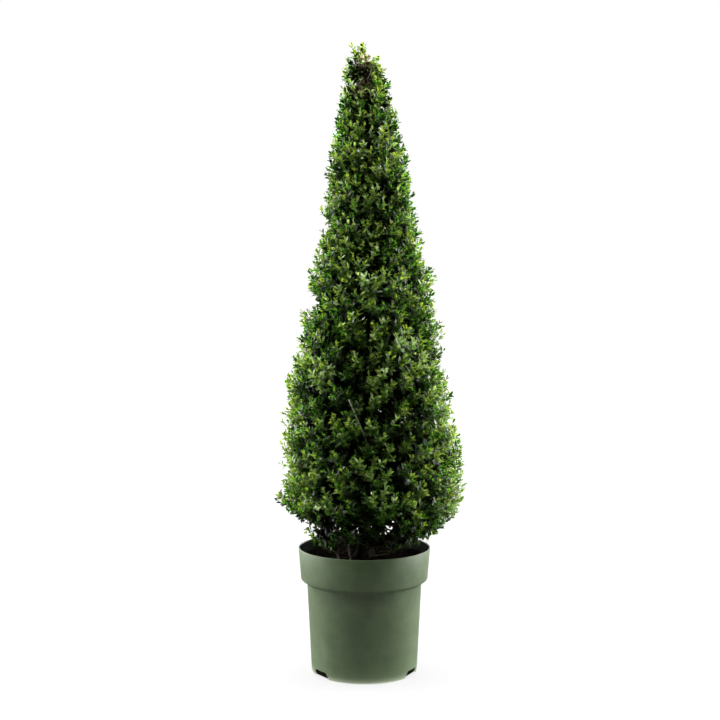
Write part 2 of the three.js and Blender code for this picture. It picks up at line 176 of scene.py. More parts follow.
def mesh_of(bm: bmesh.types.BMesh, name: str, sharp_deg: float = 35.0) -> bpy.types.Mesh:
    """Turns a bmesh into a smooth mesh with hard edges past an angle, and frees the bmesh.

    Args:
        bm: The finished bmesh.
        name: The mesh's name.
        sharp_deg: Edges that bend more than this stay hard.

    Returns:
        The new mesh.
    """
    mesh = bpy.data.meshes.new(name)
    bm.to_mesh(mesh)
    bm.free()
    mesh.polygons.foreach_set("use_smooth", np.ones(len(mesh.polygons), bool))
    mesh.set_sharp_from_angle(angle=math.radians(sharp_deg))
    return mesh


def spun(line: Sequence[Range], segments: int) -> bmesh.types.BMesh:
    """Spins a line round the Z axis into a closed shape.

    Args:
        line: Radii and heights, from the axis out and back to the axis.
        segments: Steps round the axis.

    Returns:
        The shape, with its faces outwards.
    """
    bm = bmesh.new()
    corners = [bm.verts.new((radius, 0, z)) for radius, z in line]
    edges = [bm.edges.new(pair) for pair in zip(corners, corners[1:])]
    bmesh.ops.spin(
        bm, geom=corners + edges, cent=(0, 0, 0), axis=(0, 0, 1), angle=FULL_TURN,
        steps=segments, use_merge=True,
    )
    bmesh.ops.remove_doubles(bm, verts=bm.verts, dist=SAME)
    bmesh.ops.recalc_face_normals(bm, faces=bm.faces)
    return bm


def round_off(bm: bmesh.types.BMesh, edges: list[bmesh.types.BMEdge], offset: float, steps: int) -> None:
    """Rounds edges off, by an offset along their faces and in a number of steps."""
    bmesh.ops.bevel(
        bm, geom=edges, offset=offset, segments=steps, profile=0.5, affect="EDGES", material=-1
    )


class JoinedMesh:
    """Many small things gathered into one mesh from arrays."""

    def __init__(self) -> None:
        """Starts empty."""
        self.points: list[Points] = []
        self.corners: list[Points] = []
        self.sizes: list[Points] = []
        self.slots: list[Points] = []
        self.count = 0

    def add(self, points: Points, *faces: tuple[Points, Points]) -> None:
        """Adds points and faces on them.

        Args:
            points: The points, shape (n, 3).
            faces: Pairs of corner numbers, shape (m, corners), and material slots, shape (m,).
        """
        self.points.append(points)
        for corners, slots in faces:
            self.corners.append((corners + self.count).ravel())
            self.sizes.append(np.full(len(corners), corners.shape[1]))
            self.slots.append(slots)
        self.count += len(points)

    def build(self, name: str, materials: Sequence[bpy.types.Material]) -> bpy.types.Object:
        """Makes the piece, with smooth faces.

        Args:
            name: The piece's name.
            materials: Its material slots in order.

        Returns:
            The new object.
        """
        sizes = np.concatenate(self.sizes)
        corners = np.concatenate(self.corners)
        starts = np.concatenate(([0], np.cumsum(sizes)[:-1]))
        mesh = bpy.data.meshes.new(name)
        mesh.vertices.add(self.count)
        mesh.vertices.foreach_set("co", np.concatenate(self.points).astype(np.float32).ravel())
        mesh.loops.add(len(corners))
        mesh.loops.foreach_set("vertex_index", corners.astype(np.int32))
        mesh.polygons.add(len(sizes))
        mesh.polygons.foreach_set("loop_start", starts.astype(np.int32))
        mesh.polygons.foreach_set("material_index", np.concatenate(self.slots).astype(np.int32))
        mesh.polygons.foreach_set("use_smooth", np.ones(len(sizes), bool))
        mesh.update(calc_edges=True)
        return link(mesh, materials)


# Finishes


class MixInput(IntEnum):
    """Input sockets of a mix node, whose names repeat."""

    FACTOR = 0
    LOW_VALUE = 2
    HIGH_VALUE = 3
    LOW_COLOUR = 6
    HIGH_COLOUR = 7


class MixOutput(IntEnum):
    """Output sockets of a mix node."""

    VALUE = 0
    COLOUR = 2


@dataclass(frozen=True)
class Grain:
    """A noise on Object coordinates."""

    scale: float  # its fineness, in waves to the metre
    detail: float = 4.0  # its octaves
    stretch: Place = (1, 1, 1)  # how much finer it is along each axis
    roughness: float = 0.6


class NodeSheet:
    """A material's nodes, with short ways to add and join them."""

    def __init__(self, name: str) -> None:
        """Starts a material with its shader alone.

        Args:
            name: The material's name.
        """
        self.material = bpy.data.materials.new(name)
        self.material.use_nodes = True
        self.tree = self.material.node_tree
        self.shader = self.tree.nodes["Principled BSDF"]

    def add(
        self, kind: str, values: dict[str | int, object] | None = None, **settings: object
    ) -> bpy.types.Node:
        """Adds a node.

        Args:
            kind: The node's type.
            values: Values for its input sockets, by name or number.
            settings: Values for its own properties.

        Returns:
            The new node.
        """
        node = self.tree.nodes.new(kind)
        for key, value in settings.items():
            setattr(node, key, value)
        for key, value in (values or {}).items():
            node.inputs[key].default_value = value
        return node

    def join(self, source: Socket, target: Socket) -> None:
        """Joins two sockets."""
        self.tree.links.new(source, target)

    def give(self, values: dict[str, object]) -> None:
        """Sets sockets of the shader to plain values."""
        for socket, value in values.items():
            self.shader.inputs[socket].default_value = value

    def drive(self, target: str, source: Socket) -> None:
        """Lets a socket give one of the shader's values."""
        self.join(source, self.shader.inputs[target])

    def gloss(self, roughness: float, specular: float) -> None:
        """Sets how rough the surface is and how much it reflects."""
        self.give({"Roughness": roughness, "Specular IOR Level": specular})

    def place(self) -> Socket:
        """The place on the object."""
        return self.add("ShaderNodeTexCoord").outputs["Object"]

    def height(self) -> Socket:
        """The height over the frame's origin.

        Returns:
            The height in metres.
        """
        split = self.add("ShaderNodeSeparateXYZ")
        self.join(self.place(), split.inputs["Vector"])
        return split.outputs["Z"]

    def grain(self, grain: Grain) -> Socket:
        """Adds a noise.

        Args:
            grain: Its fineness and form.

        Returns:
            The noise's factor.
        """
        mapping = self.add("ShaderNodeMapping", {"Scale": grain.stretch})
        self.join(self.place(), mapping.inputs["Vector"])
        form = {"Scale": grain.scale, "Detail": grain.detail, "Roughness": grain.roughness}
        node = self.add("ShaderNodeTexNoise", form)
        self.join(mapping.outputs["Vector"], node.inputs["Vector"])
        return node.outputs["Fac"]

    def ramp(self, source: Socket, places: Range, low: Colour, high: Colour) -> Socket:
        """Runs from one colour to another along a factor.

        Args:
            source: The factor.
            places: Where the run starts and ends.
            low: The colour up to its start.
            high: The colour from its end on.

        Returns:
            The colour.
        """
        node = self.add("ShaderNodeValToRGB")
        for element, place, colour in zip(node.color_ramp.elements, places, (low, high)):
            element.position = place
            element.color = (*colour, 1.0)
        self.join(source, node.inputs["Fac"])
        return node.outputs["Color"]

    def blend(self, factor: Socket, low: Socket, colour: Colour) -> Socket:
        """Lays a plain colour over another by a factor.

        Args:
            factor: How much of the plain colour shows.
            low: The colour under it.
            colour: The plain colour.

        Returns:
            The mixed colour.
        """
        node = self.add("ShaderNodeMix", {MixInput.HIGH_COLOUR: (*colour, 1.0)}, data_type="RGBA")
        self.join(factor, node.inputs[MixInput.FACTOR])
        self.join(low, node.inputs[MixInput.LOW_COLOUR])
        return node.outputs[MixOutput.COLOUR]

    def fade(self, source: Socket, over: Range, ends: Range) -> Socket:
        """Runs evenly from one value to another.

        Args:
            source: What it follows.
            over: Where it starts and ends, in values of the source.
            ends: Its own values there.

        Returns:
            The new value.
        """
        limits = {"From Min": over[0], "From Max": over[1], "To Min": ends[0], "To Max": ends[1]}
        node = self.add("ShaderNodeMapRange", limits)
        self.join(source, node.inputs["Value"])
        return node.outputs["Result"]

    def uneven(self, grain: Grain, ends: Range) -> Socket:
        """A value that a noise carries from one end to the other."""
        return self.fade(self.grain(grain), NOISE_RANGE, ends)

    def bump(self, source: Socket, depth: float, strength: float = 1.0) -> None:
        """Gives the shader a relief.

        Args:
            source: Its pattern.
            depth: Its depth in metres.
            strength: How much of it shows.
        """
        node = self.add("ShaderNodeBump", {"Distance": depth, "Strength": strength})
        self.join(source, node.inputs["Height"])
        self.drive("Normal", node.outputs["Normal"])


@dataclass(frozen=True)
class MouldedSkin:
    """The fine pores that a mould leaves on plastic."""

    pores: Grain = Grain(900.0, detail=2.0)
    pore_depth: float = 0.0003
    pore_strength: float = 0.35

    def roughen(self, sheet: NodeSheet) -> None:
        """Gives a material the pores."""
        sheet.bump(sheet.grain(self.pores), self.pore_depth, self.pore_strength)


@dataclass(frozen=True)
class PotPlastic(MouldedSkin):
    """Grey-green moulded plastic, faintly mottled, with dull scuffs and a lighter foot band that is a
    painted reflection of the pale floor.
    """

    mottle: Grain = Grain(26.0, detail=6.0)
    mottle_places: Range = (0.35, 0.68)
    dark: Colour = (0.122, 0.182, 0.082)
    light: Colour = (0.168, 0.240, 0.114)
    scuffs: Grain = Grain(9.0, detail=8.0, stretch=(1, 1, 9))
    scuff_share: Range = (-0.20, 0.12)
    # painted reflection: the foot band is lightened as the pale floor would show in it
    dust: Colour = (0.290, 0.340, 0.216)
    painted_floor_reflection: Colour = (0.300, 0.350, 0.235)
    reflection_height: float = 0.012
    reflection_share: float = 0.9
    sheen: Grain = Grain(60.0)
    roughness: Range = (0.37, 0.50)
    specular: float = 1.0

    def material(self) -> bpy.types.Material:
        """Makes the material.

        Returns:
            The material.
        """
        sheet = NodeSheet("pot_plastic")
        mottled = sheet.ramp(sheet.grain(self.mottle), self.mottle_places, self.dark, self.light)
        scuffed = sheet.blend(sheet.uneven(self.scuffs, self.scuff_share), mottled, self.dust)
        # painted reflection of the floor, lightening the foot up to a small height
        foot = sheet.fade(sheet.height(), (0.0, self.reflection_height), (self.reflection_share, 0.0))
        sheet.drive("Base Color", sheet.blend(foot, scuffed, self.painted_floor_reflection))
        sheet.drive("Roughness", sheet.uneven(self.sheen, self.roughness))
        sheet.give({"Specular IOR Level": self.specular})
        self.roughen(sheet)
        return sheet.material


@dataclass(frozen=True)
class PotInside(MouldedSkin):
    """The pot's inner face: the same plastic painted near black as the shade inside the pot, with faint
    stains of the mix.
    """

    stains: Grain = Grain(40.0, detail=6.0, stretch=(1, 1, 0.4))
    stain_places: Range = (0.40, 0.70)
    # painted shade: both colours are far darker than the plastic outside, for the shade inside the pot
    bare: Colour = (0.014, 0.019, 0.013)
    stain: Colour = (0.022, 0.024, 0.019)
    roughness: float = 0.80
    specular: float = 0.02

    def material(self) -> bpy.types.Material:
        """Makes the material.

        Returns:
            The material.
        """
        sheet = NodeSheet("pot_inside")
        painted_shade_and_stains = sheet.ramp(sheet.grain(self.stains), self.stain_places, self.bare, self.stain)
        sheet.drive("Base Color", painted_shade_and_stains)
        sheet.gloss(self.roughness, self.specular)
        self.roughen(sheet)
        return sheet.material


@dataclass(frozen=True)
class PottingMix:
    """Dark potting mix with browner crumbs; both colours are darkened further as painted shade under the
    crown.
    """

    crumbs: Grain = Grain(160.0, detail=8.0)
    crumb_places: Range = (0.42, 0.72)
    # painted shade: both colours are darker than the mix itself, for the shade under the crown; the drain
    # plugs take them too
    damp_and_painted_shade: Colour = (0.007, 0.006, 0.005)
    crumb: Colour = (0.018, 0.014, 0.009)
    lumps: Grain = Grain(420.0, detail=6.0)
    lump_depth: float = 0.002
    roughness: Range = (0.95, 0.75)  # of the darker mix and of its crumbs

    def material(self) -> bpy.types.Material:
        """Makes the material.

        Returns:
            The material.
        """
        sheet = NodeSheet("potting_mix")
        crumbs = sheet.grain(self.crumbs)
        sheet.drive("Base Color", sheet.ramp(crumbs, self.crumb_places, self.damp_and_painted_shade, self.crumb))
        sheet.drive("Roughness", sheet.fade(crumbs, NOISE_RANGE, self.roughness))
        sheet.give({"Specular IOR Level": 0.0})
        sheet.bump(sheet.grain(self.lumps), self.lump_depth)
        return sheet.material


@dataclass(frozen=True)
class BarkChip:
    """Shredded bark on the potting mix."""

    fibres: Grain = Grain(240.0, detail=6.0)
    fibre_places: Range = (0.35, 0.75)
    dark: Colour = (0.007, 0.006, 0.004)
    light: Colour = (0.036, 0.027, 0.019)
    pits: Grain = Grain(700.0)
    pit_depth: float = 0.0008
    roughness: float = 0.9

    def material(self) -> bpy.types.Material:
        """Makes the material.

        Returns:
            The material.
        """
        sheet = NodeSheet("bark_chip")
        fibres = sheet.ramp(sheet.grain(self.fibres), self.fibre_places, self.dark, self.light)
        sheet.drive("Base Color", fibres)
        sheet.gloss(self.roughness, specular=0.0)
        sheet.bump(sheet.grain(self.pits), self.pit_depth)
        return sheet.material


@dataclass(frozen=True)
class Bark:
    """Thin grey-brown bark with upright cracks and paler flecks. Its default colours, which the trunk and
    boughs take, are darkened as painted shade for the inside of the crown.
    """

    name: str = "bark"
    # painted shade: these defaults are far darker than YOUNG_BARK's, for the shade deep in the crown
    crack: Colour = (0.008, 0.007, 0.005)
    plate: Colour = (0.036, 0.032, 0.025)
    fleck: Colour = (0.080, 0.075, 0.063)
    cracks: Grain = Grain(150.0, detail=8.0, stretch=(1, 1, 0.22))
    crack_places: Range = (0.33, 0.55)
    crack_depth: float = 0.0012
    flecks: Grain = Grain(420.0, detail=3.0)
    fleck_share: Range = (-0.55, 0.55)
    roughness: float = 0.9

    def material(self) -> bpy.types.Material:
        """Makes the material.

        Returns:
            The material.
        """
        sheet = NodeSheet(self.name)
        cracks = sheet.grain(self.cracks)
        plates = sheet.ramp(cracks, self.crack_places, self.crack, self.plate)
        flecks = sheet.uneven(self.flecks, self.fleck_share)
        sheet.drive("Base Color", sheet.blend(flecks, plates, self.fleck))
        sheet.gloss(self.roughness, specular=0.0)
        sheet.bump(cracks, self.crack_depth)
        return sheet.material


YOUNG_BARK = Bark(
    "young_bark",
    crack=(0.095, 0.076, 0.057),
    plate=(0.300, 0.255, 0.200),
    fleck=(0.480, 0.450, 0.390),
)


@dataclass(frozen=True)
class PlainTint:
    """One plain colour of leaves or twigs, with the gloss of its surface."""

    name: str
    colour: Colour
    roughness: float
    specular: float

    def sheet(self) -> NodeSheet:
        """Starts the material with its colour and gloss.

        Returns:
            The material's nodes.
        """
        sheet = NodeSheet(self.name)
        sheet.give({"Base Color": (*self.colour, 1.0)})
        sheet.gloss(self.roughness, self.specular)
        sheet.material.diffuse_color = (*self.colour, 1.0)
        return sheet

    def material(self) -> bpy.types.Material:
        """Makes the material."""
        return self.sheet().material


@dataclass(frozen=True)
class LeafSkin(PlainTint):
    """One plain leaf colour, with the glow of light that scatters through a thin blade."""

    glow: float = 1.0
    glow_depth: float = 0.0010
    glow_reach: Colour = (0.76, 1.0, 0.36)  # of red, green and blue, in shares of that depth

    def sheet(self) -> NodeSheet:
        """Adds the glow to the plain colour.

        Returns:
            The material's nodes.
        """
        sheet = super().sheet()
        depth = {"Subsurface Scale": self.glow_depth, "Subsurface Radius": self.glow_reach}
        sheet.give({"Subsurface Weight": self.glow, **depth})
        return sheet


LEAF_FINISHES: dict[LeafTint, LeafSkin] = {
    LeafTint.DEEP: LeafSkin("leaf_deep", (0.005, 0.013, 0.002), 0.40, 0.06),
    LeafTint.DARK: LeafSkin("leaf_dark", (0.0145, 0.037, 0.0045), 0.33, 0.23),
    LeafTint.MID: LeafSkin("leaf_mid", (0.039, 0.093, 0.0085), 0.32, 0.40),
    LeafTint.FRESH: LeafSkin("leaf_fresh", (0.081, 0.188, 0.012), 0.32, 0.56),
    LeafTint.LIME: LeafSkin("leaf_lime", (0.127, 0.270, 0.028), 0.32, 0.62),
    LeafTint.PALE: LeafSkin("leaf_pale", (0.180, 0.328, 0.068), 0.34, 0.60),
    LeafTint.BRONZE: LeafSkin("leaf_bronze", (0.085, 0.055, 0.033), 0.60, 0.12),
    LeafTint.DRY: LeafSkin("leaf_dry", (0.230, 0.160, 0.090), 0.70, 0.12),
}
WOOD_FINISHES: dict[WoodTint, PlainTint] = {
    WoodTint.OLD: PlainTint("twig_old", (0.095, 0.075, 0.056), 0.85, 0.3),
    WoodTint.YOUNG: PlainTint("twig_young", (0.135, 0.117, 0.068), 0.75, 0.3),
    WoodTint.GREEN: PlainTint("shoot_green", (0.130, 0.195, 0.045), 0.55, 0.3),
    WoodTint.BARE: PlainTint("twig_bare", (0.400, 0.380, 0.320), 0.80, 0.3),
}


# Pot and soil


@dataclass(frozen=True)
class NurseryPot:
    """Tapered round pot with a wide collar, a sloping shoulder, a rounded foot and drain slots."""

    height: float = 0.254
    rim_radius: float = 0.133
    band_foot_radius: float = 0.1276
    band_height: float = 0.064
    shoulder_height: float = 0.0072
    body_top_radius: float = 0.1155
    body_foot_radius: float = 0.1065
    wall: float = 0.0026
    floor: float = 0.0032
    lip: float = 0.0003  # how far the rim's edge is thickened
    lip_run: Range = (3.0, 4.0)  # where it starts to thin and where it ends, in walls under the rim
    foot_round: float = 0.0045
    inner_round: float = 0.003
    shoulder_round: float = 0.0022
    band_round: float = 0.0018
    rim_round: float = 0.0014
    foot_steps: int = 7
    inner_steps: int = 5
    edge_steps: int = 3
    segments: int = 144
    sharp_deg: float = 32.0
    drain_count: int = 3
    drain_turn: float = math.radians(-146)
    drain_top: float = 0.038
    drain_foot: float = 0.060
    drain_height: float = 0.0150
    drain_depth: float = 0.020
    drain_round: float = 0.003
    drain_steps: int = 4

    @property
    def band_foot(self) -> float:
        """Height of the collar's lower edge."""
        return self.height - self.band_height

    @property
    def body_top(self) -> float:
        """Height where the shoulder meets the body."""
        return self.band_foot - self.shoulder_height

    def wall_line(self) -> Line:
        """The outer wall above the foot, as radius and height."""
        return (
            (self.body_foot_radius, 0.0),
            (self.body_top_radius, self.body_top),
            (self.band_foot_radius, self.band_foot),
            (self.rim_radius, self.height),
        )

    def inner_radius(self, height: float, clearance: float = 0.0) -> float:
        """Radius of the inside at a height, less a clearance."""
        radii, heights = zip(*self.wall_line())
        return float(np.interp(height, heights, radii)) - self.wall - clearance

    def inside_line(self, foot: float, top: float, clearance: float = 0.0) -> Line:
        """The inside from a foot to a top, as radius and height."""
        bends = (foot, self.body_top, self.band_foot, top)
        return tuple((self.inner_radius(z, clearance), z) for z in bends)

    def drain_block(self, index: int, inset: float, foot: float, depths: Range) -> bmesh.types.BMesh:
        """A block in the form of one drain slot, with rounded top corners.

        Args:
            index: Which slot.
            inset: How much narrower and lower than the slot it is.
            foot: Height of its underside.
            depths: Where it starts and ends behind the wall's face.

        Returns:
            The block.
        """
        half_foot, half_top = self.drain_foot / 2 - inset, self.drain_top / 2 - inset
        top = self.drain_height - inset
        outline = ((-half_foot, foot), (half_foot, foot), (half_top, top), (-half_top, top))
        bm = bmesh.new()
        start = bm.faces.new([bm.verts.new((x, depths[0], z)) for x, z in outline])
        pushed = bmesh.ops.extrude_face_region(bm, geom=[start])["geom"]
        moved = [item for item in pushed if isinstance(item, bmesh.types.BMVert)]
        bmesh.ops.translate(bm, verts=moved, vec=(0, depths[1] - depths[0], 0))

        def on_top(edge: bmesh.types.BMEdge) -> bool:
            """True for an edge along one of the top corners."""
            one, other = edge.verts
            return one.co.z == other.co.z > foot and one.co.x == other.co.x

        corners = [edge for edge in bm.edges if on_top(edge)]
        round_off(bm, corners, self.drain_round, self.drain_steps)
        bmesh.ops.recalc_face_normals(bm, faces=bm.faces)
        angle = self.drain_turn + index * FULL_TURN / self.drain_count
        turn = Matrix.Rotation(angle + math.pi / 2, 4, "Z")
        bm.transform(turn @ Matrix.Translation((0, -self.body_foot_radius, 0)))
        return bm

    def drain_cutter(self, index: int) -> bpy.types.Object:
        """A block that cuts one drain slot through the wall and the floor's edge."""
        block = self.drain_block(index, 0.0, -self.floor, (-self.drain_depth, self.drain_depth))
        return link(mesh_of(block, f"drain_cutter_{index}"), ())

    def shell(self) -> bpy.types.Mesh:
        """Spins the wall and rounds its corners.

        Returns:
            The pot without its drain slots.
        """
        rim = self.inner_radius(self.height) - self.lip
        lip_foot, lip_end = (self.height - walls * self.wall for walls in self.lip_run)
        lip = ((rim, self.height), (rim, lip_foot), (self.inner_radius(lip_end), lip_end))
        inside = reversed(self.inside_line(self.floor, self.height)[:-1])
        bm = spun([(0.0, 0.0), *self.wall_line(), *lip, *inside, (0.0, self.floor)], self.segments)
        rings = (
            (self.body_foot_radius, 0.0, self.foot_round, self.foot_steps),
            (self.inner_radius(self.floor), self.floor, self.inner_round, self.inner_steps),
            (self.body_top_radius, self.body_top, self.shoulder_round, self.edge_steps),
            (self.band_foot_radius, self.band_foot, self.band_round, self.edge_steps),
            (self.rim_radius, self.height, self.rim_round, self.edge_steps),
            (rim, self.height, self.rim_round, self.edge_steps),
        )
        for radius, height, offset, steps in rings:
            round_off(bm, self.ring(bm, radius, height), offset, steps)
        self.mark_inside(bm)
        return mesh_of(bm, "pot_moulded")

    def ring(self, bm: bmesh.types.BMesh, radius: float, height: float) -> list[bmesh.types.BMEdge]:
        """Finds the edges of one ring.

        Args:
            bm: The spun pot.
            radius: The ring's radius.
            height: The ring's height.

        Returns:
            Its edges.
        """

        def on_ring(vert: bmesh.types.BMVert) -> bool:
            """True for a vertex of the ring."""
            out = math.hypot(vert.co.x, vert.co.y)
            return abs(out - radius) < NEAR and abs(vert.co.z - height) < NEAR

        return [edge for edge in bm.edges if all(on_ring(vert) for vert in edge.verts)]

    def mark_inside(self, bm: bmesh.types.BMesh) -> None:
        """Gives the inner faces under the lip their own slot.

        Args:
            bm: The pot with its rounded corners.
        """
        for face in bm.faces:
            middle = face.calc_center_median()
            inward = face.normal.x * middle.x + face.normal.y * middle.y < 0
            if inward and middle.z < self.height - self.wall:
                face.material_index = PotSide.INSIDE

    def build(self) -> None:
        """Makes the pot, cuts its drain slots and dresses it."""
        finishes = {PotSide.OUTSIDE: PotPlastic(), PotSide.INSIDE: PotInside()}
        piece = link(self.shell(), [finishes[side].material() for side in PotSide])
        cutters = [self.drain_cutter(index) for index in range(self.drain_count)]
        for cutter in cutters:
            cut = piece.modifiers.new(cutter.name, "BOOLEAN")
            cut.operation, cut.solver, cut.object = "DIFFERENCE", "EXACT", cutter
        bpy.context.view_layer.update()
        evaluated = piece.evaluated_get(bpy.context.evaluated_depsgraph_get())
        cut_mesh = bpy.data.meshes.new_from_object(evaluated)
        piece.modifiers.clear()
        for cutter in cutters:
            bpy.data.objects.remove(cutter)
        piece.data = cut_mesh
        cut_mesh.name = "pot_moulded"
        cut_mesh.set_sharp_from_angle(angle=math.radians(self.sharp_deg))
        seat(piece, Slot.POT, "pot")


@dataclass(frozen=True)
class SoilFill:
    """Potting mix that fills the pot, with a lumpy top strewn with shredded bark."""

    pot: NurseryPot
    top: float = 0.232
    clearance: float = 0.0004
    rings: int = 44
    segments: int = 120
    lump: float = 0.0045
    lump_waves: Range = (28.0, 130.0)  # broad and fine lumps, in waves to the metre
    lump_shares: Range = (0.6, 0.4)
    lump_slices: Range = (3.1, 7.7)  # where they are cut out of the noise
    flat_edge: float = 0.0001  # next to the pot's wall
    chips: int = 420
    chip_length: Range = (0.004, 0.013)
    chip_width: Range = (0.25, 0.6)  # in shares of its length
    chip_thickness: Range = (0.10, 0.25)
    chip_ragged: Range = (0.75, 1.2)
    chip_tilt: float = 0.25
    chip_lift: float = 0.0006
    plug_inset: float = 0.0006
    plug_depths: Range = (0.0095, 0.0190)  # of the mix in a drain slot
    seed: int = 5

    def height_at(self, x: float, y: float) -> float:
        """Height of the lumpy top at a place.

        Args:
            x: The place to the right.
            y: The place backwards.

        Returns:
            The height.
        """
        height = 0.0
        for waves, share, slice_at in zip(self.lump_waves, self.lump_shares, self.lump_slices):
            height += share * noise.noise(Vector((x * waves, y * waves, slice_at)))
        return self.top + self.lump * height

    def build(self) -> None:
        """Makes the mix and its bark chips."""
        foot = self.pot.floor + self.clearance
        bevel = self.pot.inner_round
        side = self.pot.inside_line(foot + bevel, self.top, self.clearance)
        edge = side[-1][0]
        line = [(0.0, foot), (side[0][0] - bevel, foot), *side]
        line += [(edge * (1 - ring / self.rings), self.top) for ring in range(1, self.rings + 1)]
        bm = spun(line, self.segments)
        for vert in bm.verts:
            inside = math.hypot(vert.co.x, vert.co.y) < edge - self.flat_edge
            if inside and vert.co.z > self.top - SAME:
                vert.co.z = self.height_at(vert.co.x, vert.co.y)
        for index in range(self.pot.drain_count):
            plug = self.pot.drain_block(index, self.plug_inset, self.plug_inset, self.plug_depths)
            bm.from_mesh(mesh_of(plug, f"drain_plug_{index}"))
        seat(link(mesh_of(bm, "soil_mix"), [PottingMix().material()]), Slot.SOIL, "soil")
        self.strew(edge)

    def strew(self, edge: float) -> None:
        """Lays bark chips on the mix.

        Args:
            edge: Radius of the mix at the pot's wall.
        """
        rng = np.random.default_rng(self.seed)
        bm = bmesh.new()
        for _ in range(self.chips):
            length = rng.uniform(*self.chip_length)
            radius, turn = (edge - length) * math.sqrt(rng.uniform()), rng.uniform(0, FULL_TURN)
            x, y = radius * math.cos(turn), radius * math.sin(turn)
            spot = Matrix.Translation((x, y, self.height_at(x, y) + self.chip_lift))
            tip = Matrix.Rotation(rng.normal(0, self.chip_tilt), 4, "X")
            roll = Matrix.Rotation(rng.normal(0, self.chip_tilt), 4, "Y")
            width, thickness = rng.uniform(*self.chip_width), rng.uniform(*self.chip_thickness)
            size = Matrix.Diagonal((length, length * width, length * thickness, 1))
            spin = Matrix.Rotation(rng.uniform(0, FULL_TURN), 4, "Z")
            chip = bmesh.ops.create_icosphere(bm, subdivisions=1, radius=0.5)["verts"]
            for vert in chip:
                vert.co *= rng.uniform(*self.chip_ragged)
            bmesh.ops.transform(bm, matrix=spot @ spin @ (tip @ roll) @ size, verts=chip)
        seat(link(mesh_of(bm, "soil_bark_chips"), [BarkChip().material()]), Slot.SOIL, "soil")


# The crown's frame and the spaces of its masses


